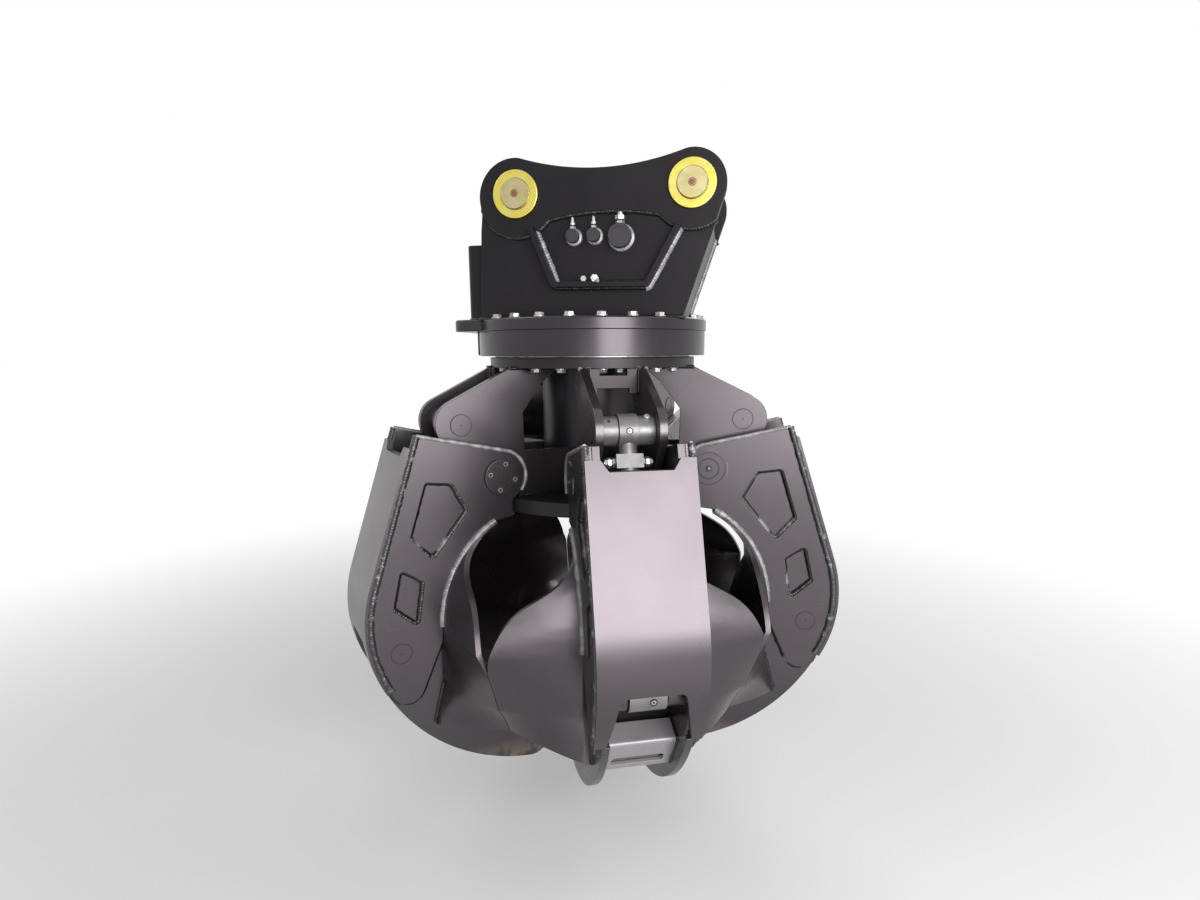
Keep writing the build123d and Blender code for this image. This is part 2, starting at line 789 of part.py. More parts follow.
# Doublers round both pins, and the wear rings on the inner faces
with BuildPart() as head_doublers:
    with BuildSketch(side_plane(head_half_width)):
        with BuildLine():
            head_outline()
        make_face()
        with BuildSketch(mode=Mode.INTERSECT):
            with Locations(stick_pin, link_pin):
                Circle(doubler_round + doubler_margin)
            with BuildLine():
                left_low = about(stick_pin, doubler_round, doubler_angles[0])
                right_low = about(link_pin, doubler_round, doubler_angles[1])
                ThreePointArc(left_low, doubler_crest, right_low)
                Polyline(right_low, (link_pin[0], head_top), (stick_pin[0], head_top), left_low)
            make_face()
        with Locations(stick_pin, link_pin):
            Circle(pin_radius, mode=Mode.SUBTRACT)
    extrude(amount=-doubler_thickness)
    with BuildSketch(side_plane(head_half_width - head_plate_thickness)):
        with Locations(stick_pin, link_pin):
            Circle(ear_ring_radius)
            Circle(pin_radius, mode=Mode.SUBTRACT)
    extrude(amount=ear_ring_thickness)
    mirror(about=Plane.XZ)

# End plates of the head: the slanted one on the link side and the motor cover on the other
with BuildPart() as head_end_plates:
    inner_width = 2 * (head_half_width - head_plate_thickness)
    with BuildSketch(Plane.XZ):
        with BuildLine():
            foot_x = head_right_bottom - end_plate_inset
            top_x = foot_x + end_plate_lean * (end_plate_top - flange_top)
            Polyline(
                (foot_x, flange_top),
                (top_x, end_plate_top),
                (top_x - end_plate_thickness, end_plate_top),
                (foot_x - end_plate_thickness, flange_top),
                close=True,
            )
        make_face()
    extrude(amount=inner_width / 2, both=True)
    with BuildSketch(Plane.XY.offset(flange_top)):
        with Locations((cover_middle, 0)):
            RectangleRounded(cover_depth, inner_width - cover_play, cover_corner)
    extrude(amount=cover_height)
    with BuildSketch(Plane.XY.offset(flange_top)):
        with Locations((cover_middle + cover_thickness, 0)):
            RectangleRounded(
                cover_depth,
                inner_width - cover_play - 2 * cover_thickness,
                cover_corner - cover_thickness,
            )
    extrude(amount=cover_height, mode=Mode.SUBTRACT)

for pin_name, centre in (("stick_pin", stick_pin), ("link_pin", link_pin)):
    # Head pin: plain through both ears, with a zinc-plated disc at each end
    with BuildPart() as head_pin:
        pin_half = head_half_width + doubler_thickness
        with BuildSketch(Plane.XZ):
            with Locations(centre):
                Circle(pin_radius)
        extrude(amount=pin_half + pin_disc_thickness + pin_end_height, both=True)
        for end in (1, -1):
            with BuildSketch(side_plane(end * pin_half)):
                with Locations(centre):
                    Circle(pin_disc_radius)
            extrude(amount=-end * pin_disc_thickness)
    write_piece(pin_name, head_pin.part)

# Guard bars welded round the ports on the head's front plate
with BuildPart() as guard_bars:
    with BuildSketch(side_plane(-head_half_width)):
        with BuildLine():
            Polyline(*guard_path)
            offset(amount=guard_bar_thickness, side=Side.RIGHT)
        make_face()
    extrude(amount=guard_bar_depth)
    add(head_doublers.part, mode=Mode.SUBTRACT)

# Ports on the front plate: three capped stubs, each with a fitting on top
with BuildPart() as port_couplings:
    for x, z, radius, reach in port_stubs:
        with BuildSketch(side_plane(-head_half_width)):
            with Locations((x, z)):
                Circle(radius)
        extrude(amount=reach)
        with BuildSketch(Plane.XY.offset(z)):
            with Locations((x, -head_half_width - reach * port_fitting_place)):
                RegularPolygon(port_fitting_share * radius, 6)
        extrude(amount=radius + port_fitting_rise)


def misses_the_head(place):
    """Whether a flange bolt at this place stands clear of the head's foot and of the motor cover."""
    x, y = place
    beside_foot = abs(y) > head_half_width + bolt_head_radius
    before_foot = x > head_right_bottom + bolt_head_radius
    behind_foot = x < min(head_left) - bolt_head_radius
    cover_wall = cover_middle - cover_depth / 2
    at_cover_wall = abs(x - cover_wall) < bolt_head_radius + cover_thickness
    return (beside_foot or before_foot or behind_foot) and not at_cover_wall


# Bolts that hold the head's flange down on the outer race
with BuildPart() as flange_bolts:
    with BuildSketch(Plane.XY.offset(flange_top)):
        bolt_places = [about((0, 0), bolt_circle, angle) for angle in range(0, 360, bolt_step_angle)]
        with Locations(*[place for place in bolt_places if misses_the_head(place)]):
            RegularPolygon(bolt_head_radius, 6)
    extrude(amount=bolt_head_height)

# Slew motor and gearbox, standing on the base flange
with BuildPart() as slew_motor:
    with Locations((-pinion_centre, 0, flange_top)):
        Cylinder(motor_flange[0], motor_flange[1], align=(Align.CENTER, Align.CENTER, Align.MIN))
        Cylinder(
            gearbox[0], motor_flange[1] + gearbox[1], align=(Align.CENTER, Align.CENTER, Align.MIN)
        )
        Cylinder(
            motor[0],
            motor_flange[1] + gearbox[1] + motor[1],
            align=(Align.CENTER, Align.CENTER, Align.MIN),
        )
    with Locations((-pinion_centre, 0, flange_top)):
        Cylinder(
            pinion_shaft_radius + running_clearance,
            shaft_reach + shaft_bore_margin,
            align=(Align.CENTER, Align.CENTER, Align.MIN),
            mode=Mode.SUBTRACT,
        )

# Rotary swivel: the core stands on the hub, the housing on the head's flange
with BuildPart() as swivel_core:
    with Locations((0, 0, hub_flange_thickness)):
        Cylinder(
            swivel_hole - swivel_foot_gap,
            swivel_core_foot,
            align=(Align.CENTER, Align.CENTER, Align.MIN),
        )
        Cylinder(
            swivel_core_radius,
            swivel_core_top - hub_flange_thickness,
            align=(Align.CENTER, Align.CENTER, Align.MIN),
        )
with BuildPart() as swivel_housing:
    with BuildSketch(Plane.XY.offset(flange_top)):
        Circle(swivel_housing_radius)
        Circle(swivel_core_radius + running_clearance, mode=Mode.SUBTRACT)
    extrude(amount=swivel_housing_height)

# Head and slewing drive
write_piece("head_side_plates", head_side_plates.part)
write_piece("head_doublers", head_doublers.part)
write_piece("head_end_plates", head_end_plates.part)
write_piece("base_flange", base_flange.part)
write_piece("outer_ring", outer_ring.part)
write_piece("guard_bars", guard_bars.part)
write_piece("port_couplings", port_couplings.part)
write_piece("flange_bolts", flange_bolts.part)
write_piece("slew_motor", slew_motor.part)
write_piece("swivel_housing", swivel_housing.part)
write_piece("drive_pinion", drive_pinion.part)

# Hub
write_piece("inner_ring", inner_ring.part)
write_piece("swivel_core", swivel_core.part)
write_piece("hub_spine", hub_spine.part, first_tine_angle)
write_piece("hub_wing_plates", hub_wing_plates.part, first_tine_angle)
write_piece("hub_webs", hub_webs.part, first_tine_angle)
write_piece("ear_pins", ear_pins.part, first_tine_angle)
write_piece("ring_bolts", ring_bolts.part, first_tine_angle)

# Tines and their cylinders
for number in range(tine_count):
    turn = first_tine_angle + number * 360 / tine_count
    write_piece(f"tine_{number + 1}_side_plates", side_plates.part, turn)
    write_piece(f"tine_{number + 1}_cheek_plates", cheek_plates.part, turn)
    write_piece(f"tine_{number + 1}_back_plate", back_plate.part, turn)
    write_piece(f"tine_{number + 1}_leaf", leaf.part, turn)
    write_piece(f"tine_{number + 1}_cross_box", cross_box.part, turn)
    write_piece(f"tine_{number + 1}_pins", tine_pins.part, turn)
    write_piece(f"cylinder_{number + 1}_rod", cylinder_rod.part, turn)
    write_piece(f"cylinder_{number + 1}_barrel", cylinder_barrel.part, turn)
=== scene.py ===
from math import atan2, cos, hypot, pi, radians, sin

import bmesh
import bpy
from mathutils import Matrix, Vector


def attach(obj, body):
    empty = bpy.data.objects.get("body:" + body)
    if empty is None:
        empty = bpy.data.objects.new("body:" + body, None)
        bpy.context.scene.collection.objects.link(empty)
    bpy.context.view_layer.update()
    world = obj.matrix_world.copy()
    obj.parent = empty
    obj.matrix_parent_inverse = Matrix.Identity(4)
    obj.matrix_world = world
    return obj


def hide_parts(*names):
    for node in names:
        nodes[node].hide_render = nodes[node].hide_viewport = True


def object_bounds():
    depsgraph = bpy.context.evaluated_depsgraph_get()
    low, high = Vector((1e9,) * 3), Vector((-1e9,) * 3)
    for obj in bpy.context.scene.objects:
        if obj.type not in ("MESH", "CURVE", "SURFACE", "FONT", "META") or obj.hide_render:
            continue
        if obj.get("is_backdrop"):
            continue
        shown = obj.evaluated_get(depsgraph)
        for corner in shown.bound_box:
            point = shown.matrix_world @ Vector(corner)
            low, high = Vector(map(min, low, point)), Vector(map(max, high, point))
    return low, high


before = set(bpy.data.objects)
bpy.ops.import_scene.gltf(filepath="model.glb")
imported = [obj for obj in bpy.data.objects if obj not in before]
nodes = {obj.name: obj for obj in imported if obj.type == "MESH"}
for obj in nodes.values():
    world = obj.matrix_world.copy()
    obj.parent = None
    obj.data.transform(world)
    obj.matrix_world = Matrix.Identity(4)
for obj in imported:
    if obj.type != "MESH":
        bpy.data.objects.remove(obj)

cad_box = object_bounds()

# Camera
# The photograph was taken by hand, a little below the head's pins and about two metres from the
# slewing axis, with a wide lens. The grapple hangs square, and the camera stands to its right.
slew_axis = Vector((0.173, 0, 0))
photo_turn = radians(10.63)
photo_distance = 2.2187
photo_height = -0.4298
photo_pan = radians(-0.386)
photo_pitch = radians(-11.27)
photo_roll = radians(0.27)
photo_lens = 20.6445
photo_shift = (0.0019, 0.0325)
film_width = 36
sight_limit = 200

camera = bpy.data.objects.new("camera", bpy.data.cameras.new("camera"))
bpy.context.scene.collection.objects.link(camera)
bpy.context.scene.camera = camera
looking = Matrix.Rotation(photo_turn + photo_pan, 3, "Z")
looking = looking @ Matrix.Rotation(photo_pitch, 3, "X") @ Matrix.Rotation(photo_roll, 3, "Y")
right, ahead, above = looking.col[0], looking.col[1], looking.col[2]
facing = Matrix((right, above, -ahead)).transposed()
away, sideways = photo_distance * cos(photo_turn), photo_distance * sin(photo_turn)
stand = slew_axis + Vector((sideways, -away, photo_height))
camera.matrix_world = Matrix.Translation(stand) @ facing.to_4x4()
camera.data.lens = photo_lens
camera.data.sensor_width = film_width
camera.data.shift_x = photo_shift[0]
camera.data.shift_y = photo_shift[1]
camera.data.clip_end = sight_limit

# Floor and light
# A pale floor a little below the hanging grapple, with a painted shade round it that pales to white
# in the distance. A high soft lamp at the front gives the broad sheen, a wide low one fills the
# upright plates, and weaker ones stand at the sides and behind.
floor_drop = 0.3
floor_size = 160
floor_grey = 0.66
floor_roughness = 0.9
floor_pale_from = 1.0
floor_pale_to = 5.5
floor_lift = (0.20, 0.86)
world_level = 0.25
lamp_target = Vector((0.42, -0.64, -0.86))
lamps = [
    ("high_front", -56, 17, 2.9, 1.85, 1.75, 104),
    ("low_front", -58, -2, 3.4, 5.2, 1.0, 44),
    ("left_side", 175, 50, 3.4, 1.4, 1.2, 16),
    ("back", 88, 38, 3.6, 2.4, 1.6, 36),
    ("right_side", 8, 50, 3.6, 1.4, 1.2, 16),
]


def place_node(tree, kind, inputs=None, **settings):
    """A node with its settings, and with its inputs set or linked."""
    node = tree.nodes.new(kind)
    for name, value in settings.items():
        setattr(node, name, value)
    for name, value in (inputs or {}).items():
        if isinstance(value, bpy.types.NodeSocket):
            tree.links.new(value, node.inputs[name])
        else:
            node.inputs[name].default_value = value
    return node


def new_material(name):
    """An empty node material with its shader ready, and the tree to build on."""
    material = bpy.data.materials.new(name)
    material.use_nodes = True
    tree = material.node_tree
    shader = next(node for node in tree.nodes if node.type == "BSDF_PRINCIPLED")
    return material, tree, shader


def spread(tree, value, low, high, to_low, to_high, **settings):
    """Maps a value between two levels."""
    ends = {"Value": value, "From Min": low, "From Max": high, "To Min": to_low, "To Max": to_high}
    return place_node(tree, "ShaderNodeMapRange", ends, **settings).outputs[0]


def maths(tree, operation, first, second):
    """One step of arithmetic between two values."""
    return place_node(tree, "ShaderNodeMath", {0: first, 1: second}, operation=operation).outputs[0]


def span(tree, place, directions):
    """How far a place lies from the origin, measured along some directions alone."""
    flat = place_node(tree, "ShaderNodeVectorMath", {0: place, 1: directions}, operation="MULTIPLY")
    length = place_node(tree, "ShaderNodeVectorMath", {0: flat.outputs[0]}, operation="LENGTH")
    return length.outputs["Value"]


def in_sight(tree):
    """1 for rays from the camera, off metal or through glass, and 0 for those that light the object."""
    light_path = place_node(tree, "ShaderNodeLightPath").outputs
    seen = maths(tree, "MAXIMUM", light_path["Is Camera Ray"], light_path["Is Glossy Ray"])
    return maths(tree, "MAXIMUM", seen, light_path["Is Transmission Ray"])


floor_mesh = bpy.data.meshes.new("floor")
half = floor_size / 2
floor_height = cad_box[0][2] - floor_drop
corners = [(-half, -half), (half, -half), (half, half), (-half, half)]
floor_mesh.from_pydata([(x, y, floor_height) for x, y in corners], [], [(0, 1, 2, 3)])
floor = bpy.data.objects.new("floor", floor_mesh)
bpy.context.scene.collection.objects.link(floor)
floor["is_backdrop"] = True

floor_material, tree, shader = new_material("pale_floor")
shader.inputs["Base Color"].default_value = (floor_grey, floor_grey, floor_grey, 1)
shader.inputs["Roughness"].default_value = floor_roughness
shader.inputs["Specular IOR Level"].default_value = 0.0
ground = place_node(tree, "ShaderNodeTexCoord").outputs["Object"]
away = span(tree, ground, (1, 1, 0))
# The floor's glow for the camera and for reflections is low near the grapple and grows with distance: painted
# shade round it.
glow_shaded_near_grapple = spread(tree, away, floor_pale_from, floor_pale_to, *floor_lift, interpolation_type="SMOOTHSTEP")
shader.inputs["Emission Color"].default_value = (1, 1, 1, 1)
tree.links.new(maths(tree, "MULTIPLY", in_sight(tree), glow_shaded_near_grapple), shader.inputs["Emission Strength"])
floor_mesh.materials.append(floor_material)

world = bpy.data.worlds.new("studio")
bpy.context.scene.world = world
world.use_nodes = True
tree = world.node_tree
background = tree.nodes["Background"]
background.inputs["Color"].default_value = (1, 1, 1, 1)
tree.links.new(spread(tree, in_sight(tree), 0, 1, world_level, 1.0), background.inputs["Strength"])

for name, azimuth, elevation, distance, wide, high, power in lamps:
    lamp = bpy.data.lights.new(name, "AREA")
    lamp.shape = "RECTANGLE"
    lamp.size = wide
    lamp.size_y = high
    lamp.energy = power
    lamp_object = bpy.data.objects.new(name, lamp)
    bpy.context.scene.collection.objects.link(lamp_object)
    level = cos(radians(elevation))
    way = Vector((cos(radians(azimuth)) * level, sin(radians(azimuth)) * level, sin(radians(elevation))))
    lamp_object.location = lamp_target + distance * way
    lamp_object.rotation_euler = way.to_track_quat("Z", "Y").to_euler()
bpy.context.scene.view_settings.view_transform = "Standard"

# Painted steel
# The plates are cut from thick steel sheet, welded, and sprayed with a dark charcoal paint that has
# a slight violet tint. The head's coat is a plain satin, the tines' and the hub's coats have a sheen.
# The head's, the ring's and the inner plates' coats are darker and duller, partly painted shade, and
# the cross boxes are painted pale all over, a painted highlight for their bright tops.
violet_cast = (1.0, 0.89, 0.97, 1)
gloss_cloud = (4.5, 4)
dust_fleck = (38, 6)
orange_peel = (230, 3)
peel_strength, peel_height = 0.025, 0.001
worn_patch = (26, 5)
worn_earth = (0.135, 0.105, 0.070)
worn_from, worn_fade = -1.60, 0.07
tine_coat = ((0.013, 0.0105, 0.012), (0.019, 0.0165, 0.018), 0.90, 0.28)
merge_gap = 0.00001
flat_within, rounded_above, smooth_below = radians(0.5), radians(35), radians(50)
big_face_weight = 90


def noise(tree, place, scale, detail):
    """Fine noise on the piece's own coordinates."""
    settings = {"Vector": place, "Scale": scale, "Detail": detail}
    return place_node(tree, "ShaderNodeTexNoise", settings).outputs["Fac"]


def blend(tree, share, first, second):
    """A mix of two colours, each a tuple or a socket."""
    mixed = place_node(tree, "ShaderNodeMix", data_type="RGBA")
    tree.links.new(share, mixed.inputs["Factor"])
    for socket, colour in ((mixed.inputs["A"], first), (mixed.inputs["B"], second)):
        if isinstance(colour, tuple):
            socket.default_value = (*colour, 1)
        else:
            tree.links.new(colour, socket)
    return mixed.outputs["Result"]


def bump(tree, shader, height, strength, distance):
    """Raises the surface by a height pattern."""
    settings = {"Height": height, "Strength": strength, "Distance": distance}
    tree.links.new(place_node(tree, "ShaderNodeBump", settings).outputs[0], shader.inputs["Normal"])


def sprayed_paint(name, paint, dust, sheen, rough, worn=False):
    """Sprayed paint with orange peel, a cloudy gloss, a little dust and, where worn, earthy tips."""
    material, tree, shader = new_material(name)
    place = place_node(tree, "ShaderNodeTexCoord").outputs["Object"]
    cloud = noise(tree, place, *gloss_cloud)
    peel = noise(tree, place, *orange_peel)
    fleck = noise(tree, place, *dust_fleck)
    colour = blend(tree, spread(tree, cloud, 0.40, 0.72, 0.0, 0.7), paint, dust)
    colour = blend(tree, spread(tree, fleck, 0.68, 0.78, 0.0, 0.3), colour, tuple(1.3 * c for c in dust))
    if worn:
        height = place_node(tree, "ShaderNodeSeparateXYZ", {"Vector": place}).outputs["Z"]
        low = spread(tree, height, worn_from, worn_from - worn_fade, 0.0, 0.9)
        patch = spread(tree, noise(tree, place, *worn_patch), 0.40, 0.56, 0.0, 1.0)
        colour = blend(tree, maths(tree, "MULTIPLY", low, patch), colour, worn_earth)
    tree.links.new(colour, shader.inputs["Base Color"])
    tree.links.new(spread(tree, cloud, 0.3, 0.7, rough - 0.03, rough + 0.04), shader.inputs["Roughness"])
    bump(tree, shader, peel, peel_strength, peel_height)
    shader.inputs["Specular IOR Level"].default_value = sheen
    shader.inputs["Specular Tint"].default_value = violet_cast
    return material


# The head's, ring's and inner plates' coats are darker, duller copies of the one paint: partly painted shade.
head_paint = sprayed_paint("head_paint", (0.0075, 0.0075, 0.0088), (0.0125, 0.0125, 0.0145), 0.20, 0.40)
tine_paint = sprayed_paint("tine_paint", *tine_coat)
tip_paint = sprayed_paint("tip_paint", *tine_coat, worn=True)
hub_paint = sprayed_paint("hub_paint", (0.014, 0.0115, 0.013), (0.020, 0.0175, 0.019), 0.95, 0.28)
ring_paint = sprayed_paint("ring_paint", (0.008, 0.007, 0.0088), (0.013, 0.0118, 0.014), 0.55, 0.26)
inner_paint = sprayed_paint("inner_paint", (0.009, 0.0085, 0.0098), (0.014, 0.0135, 0.015), 0.34, 0.38)
# The cross boxes' pale paint is a painted highlight, standing in for the sheen on their tops.
box_painted_sheen = sprayed_paint("box_painted_sheen", (0.22, 0.21, 0.22), (0.30, 0.29, 0.30), 0.95, 0.30)

soften = bpy.data.node_groups.new("soften", "GeometryNodeTree")
soften.interface.new_socket("Plates", in_out="INPUT", socket_type="NodeSocketGeometry")
soften.interface.new_socket("Plates", in_out="OUTPUT", socket_type="NodeSocketGeometry")
plates = place_node(soften, "NodeGroupInput").outputs[0]
plates = place_node(soften, "GeometryNodeSetShadeSmooth", {"Geometry": plates}).outputs[0]
fold = place_node(soften, "GeometryNodeInputMeshEdgeAngle").outputs["Unsigned Angle"]
limits = {"A": fold, "B": smooth_below}
sharp = place_node(soften, "FunctionNodeCompare", limits, data_type="FLOAT", operation="GREATER_THAN")
kept = {"Geometry": plates, "Selection": sharp.outputs[0], "Shade Smooth": False}
plates = place_node(soften, "GeometryNodeSetShadeSmooth", kept, domain="EDGE").outputs[0]
soften.links.new(plates, place_node(soften, "NodeGroupOutput").inputs[0])


def finish_node(name, material, edge_width=0.0015):
    """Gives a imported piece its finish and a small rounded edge."""
    node = nodes[name]
    node.data.materials.clear()
    node.data.materials.append(material)
    node.modifiers.new("merge", "WELD").merge_threshold = merge_gap
    flat = node.modifiers.new("flatten", "DECIMATE")
    flat.decimate_type = "DISSOLVE"
    flat.angle_limit = flat_within
    edge = node.modifiers.new("edge", "BEVEL")
    edge.width = edge_width
    edge.segments = 2
    edge.limit_method = "ANGLE"
    edge.angle_limit = rounded_above
    edge.use_clamp_overlap = True
    node.modifiers.new("soften", "NODES").node_group = soften
    shading = node.modifiers.new("shading", "WEIGHTED_NORMAL")
    shading.mode = "FACE_AREA"
    shading.weight = big_face_weight
    shading.keep_sharp = True


head_plates = ("head_side_plates", "head_doublers", "head_end_plates", "guard_bars")
for names, paint in (
    (head_plates + ("slew_motor", "swivel_housing"), head_paint),
    (("base_flange", "outer_ring"), ring_paint),
    (("hub_wing_plates",), hub_paint),
    (("hub_spine", "hub_webs"), inner_paint),
):
    for name in names:
        finish_node(name, paint)
tine_numbers = range(1, 6)
for number in tine_numbers:
    for piece in ("cheek_plates", "back_plate", "leaf", "pins"):
        finish_node(f"tine_{number}_{piece}", tine_paint)
    # Pale paint on the cross boxes: a painted highlight.
    finish_node(f"tine_{number}_cross_box", box_painted_sheen)
    finish_node(f"tine_{number}_side_plates", tip_paint)

# Weld beads
# Every seam between two plates is closed by hand with a run of weld, which shows as an uneven
# rounded bead. It is sprayed over with the plates, and its pale colour and patches are painted sheen.
first_turn, turn_step = -68.94, 72
tine_turns = {number: radians(first_turn + turn_step * (number - 1)) for number in tine_numbers}
hub_height = -0.475

# Places on a tine and on the hub are pairs: how far out from the slewing axis, and how far up from
# the hub's top face.
pivot = (0.368, -0.301)
low_eye = (0.676, -0.772)
ear = (0.467, -0.154)
pin_clear = 0.036
cheek_inner = 0.115
cheek_outer = 0.131
cheek_shoulder = (0.34, -0.285)
cheek_round, cheek_round_foot = 0.075, -0.35
back_top = (0.629, -0.202)
back_bend = (0.750, -0.572)
back_roll_radius = 0.398
back_thickness = 0.016
bend_play = 0.01
leaf_top, leaf_curve, leaf_wall = (0.391, -0.427), (0.513, -0.548), (0.557, -0.714)
leaf_crease = (0.589, -1.009)
leaf_top_height, leaf_wall_height = -0.42, -0.72
floor_slope = 0.232
wall_reach, arm_seam_end = 0.592, 0.24
box_half_width = 0.095
on_face, on_curve = 0.0008, 0.002
seam_fold = radians(25)
seam_gap, run_gap = 0.00002, 0.00005
bead_pitch = 0.008
bead_unevenness = 0.7
bead_ripple = (0.9, 1.08)
bead_lumps = {"Scale": 60, "Detail": 3}
weld_grain = (300, 2)


def standing(number):
    """Where a tine's own frame stands: +X outwards from the slewing axis, +Z up."""
    return Matrix.Translation((slew_axis.x, 0, hub_height)) @ Matrix.Rotation(tine_turns[number], 4, "Z")


def new_tree(name, sizes):
    """An empty geometry tree with named inputs."""
    tree = bpy.data.node_groups.new(name, "GeometryNodeTree")
    tree.interface.new_socket("Base", in_out="INPUT", socket_type="NodeSocketGeometry")
    tree.interface.new_socket("Shape", in_out="OUTPUT", socket_type="NodeSocketGeometry")
    for label in sizes:
        tree.interface.new_socket(label, in_out="INPUT", socket_type="NodeSocketFloat")
    tree.interface.new_socket("Finish", in_out="INPUT", socket_type="NodeSocketMaterial")
    return tree, place_node(tree, "NodeGroupInput").outputs


def end_tree(tree, shape, finish):
    """Ends a geometry tree in a real mesh with its finish."""
    whole = place_node(tree, "GeometryNodeRealizeInstances", {"Geometry": shape}).outputs[0]
    painted = place_node(tree, "GeometryNodeSetMaterial", {"Geometry": whole, "Material": finish}).outputs[0]
    tree.links.new(painted, place_node(tree, "NodeGroupOutput").inputs[0])


def shaped(tree, base, values):
    """The plain mesh that a geometry tree makes of a base mesh."""
    holder = bpy.data.objects.new(tree.name, base)
    bpy.context.scene.collection.objects.link(holder)
    modifier = holder.modifiers.new("shape", "NODES")
    modifier.node_group = tree
    for item in tree.interface.items_tree:
        if item.in_out == "INPUT" and item.name in values:
            modifier[item.identifier] = values[item.name]
    seen_by = bpy.context.evaluated_depsgraph_get()
    mesh = bpy.data.meshes.new_from_object(holder.evaluated_get(seen_by))
    bpy.data.objects.remove(holder)
    return mesh


bead_tree, given = new_tree("weld_bead", ["Bead Radius", "Ripple Pitch", "Unevenness"])
run = place_node(bead_tree, "GeometryNodeMeshToCurve", {"Mesh": given["Base"]}).outputs[0]
step = {"Curve": run, "Length": maths(bead_tree, "DIVIDE", given["Ripple Pitch"], 3)}
run = place_node(bead_tree, "GeometryNodeResampleCurve", step, mode="LENGTH").outputs[0]
along = place_node(bead_tree, "GeometryNodeSplineParameter").outputs["Length"]
ripple = maths(bead_tree, "MULTIPLY", maths(bead_tree, "DIVIDE", along, given["Ripple Pitch"]), 2 * pi)
ripple = spread(bead_tree, maths(bead_tree, "SINE", ripple, 0), -1, 1, *bead_ripple)
lump = place_node(bead_tree, "ShaderNodeTexNoise", bead_lumps).outputs["Fac"]
lump = maths(bead_tree, "MULTIPLY", maths(bead_tree, "SUBTRACT", lump, 0.5), given["Unevenness"])
thickness = maths(bead_tree, "MULTIPLY", maths(bead_tree, "ADD", ripple, lump), given["Bead Radius"])
circle = {"Resolution": 6, "Radius": 1.0}
outline = place_node(bead_tree, "GeometryNodeCurvePrimitiveCircle", circle, mode="RADIUS").outputs[0]
sweep = {"Curve": run, "Profile Curve": outline, "Scale": thickness, "Fill Caps": True}
skin = place_node(bead_tree, "GeometryNodeCurveToMesh", sweep).outputs[0]
skin = place_node(bead_tree, "GeometryNodeSetShadeSmooth", {"Geometry": skin}).outputs[0]
end_tree(bead_tree, skin, given["Finish"])


def weld_finish(name, colour, bright, share, sheen, patches=46):
    """Sprayed weld: a base colour with pale patches, which are painted highlights on the crests."""
    material, tree, shader = new_material(name)
    place = place_node(tree, "ShaderNodeTexCoord").outputs["Object"]
    patch = spread(tree, noise(tree, place, patches, 4), 0.62 - share, 0.66, 0.0, 1.0)
    tree.links.new(blend(tree, patch, colour, bright), shader.inputs["Base Color"])
    shader.inputs["Specular IOR Level"].default_value = sheen
    grain = spread(tree, noise(tree, place, *weld_grain), 0.3, 0.7, 0.24, 0.40)
    tree.links.new(grain, shader.inputs["Roughness"])
    return material


# The first two welds' pale colours and patches are painted sheen; the window weld's pale patches are painted
# highlights.
painted_sheen_weld = weld_finish("painted_sheen_weld", (0.17, 0.162, 0.17), (0.36, 0.35, 0.36), 0.20, 0.75)
painted_glint_weld = weld_finish("painted_glint_weld", (0.030, 0.027, 0.030), (0.26, 0.25, 0.26), 0.05, 0.6)
window_weld = weld_finish("window_weld", (0.007, 0.006, 0.0075), (0.22, 0.21, 0.22), 0.05, 0.55, 9)
dark_weld = weld_finish("dark_weld", (0.008, 0.0075, 0.009), (0.03, 0.029, 0.031), 0.02, 0.4)


def seams(name, rule, to_own_frame=None):
    """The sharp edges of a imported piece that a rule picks, as one mesh of edges."""
    plates = bmesh.new()
    plates.from_mesh(nodes[name].data)
    bmesh.ops.remove_doubles(plates, verts=plates.verts, dist=seam_gap)
    if to_own_frame is not None:
        bmesh.ops.transform(plates, matrix=to_own_frame, verts=plates.verts)
    spots = []
    for edge in plates.edges:
        if len(edge.link_faces) == 2 and edge.calc_face_angle() > seam_fold:
            ends = [corner.co.copy() for corner in edge.verts]
            if all(rule(point) for point in ends) and rule((ends[0] + ends[1]) / 2):
                spots += ends
    plates.free()
    mesh = bpy.data.meshes.new(name + "_seams")
    mesh.from_pydata(spots, [(2 * i, 2 * i + 1) for i in range(len(spots) // 2)], [])
    runs = bmesh.new()
    runs.from_mesh(mesh)
    bmesh.ops.remove_doubles(runs, verts=runs.verts, dist=run_gap)
    runs.to_mesh(mesh)
    runs.free()
    return mesh


def bead(seam, radius, finish):
    """The weld along a mesh of edges."""
    values = {"Bead Radius": radius, "Ripple Pitch": bead_pitch, "Unevenness": bead_unevenness}
    return shaped(bead_tree, seam, {**values, "Finish": finish})


def add_piece(name, mesh, body, finish=None):
    """Puts a finished mesh in the scene as a piece that rides on a body."""
    piece = bpy.data.objects.new(name, mesh)
    bpy.context.scene.collection.objects.link(piece)
    if finish is not None:
        mesh.materials.clear()
        mesh.materials.append(finish)
    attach(piece, body)
    return piece


def add_to_tines(name, mesh, body, finish=None):
    """Puts a copy of a mesh, drawn in a tine's own frame, at each of the five tines."""
    for number in tine_numbers:
        copy = mesh.copy()
        copy.transform(standing(number))
        add_piece(f"{name}_{number}", copy, body.format(number), finish)


def near(value, wanted, within=on_face):
    """Whether a length is the wanted one."""
    return abs(value - wanted) < within


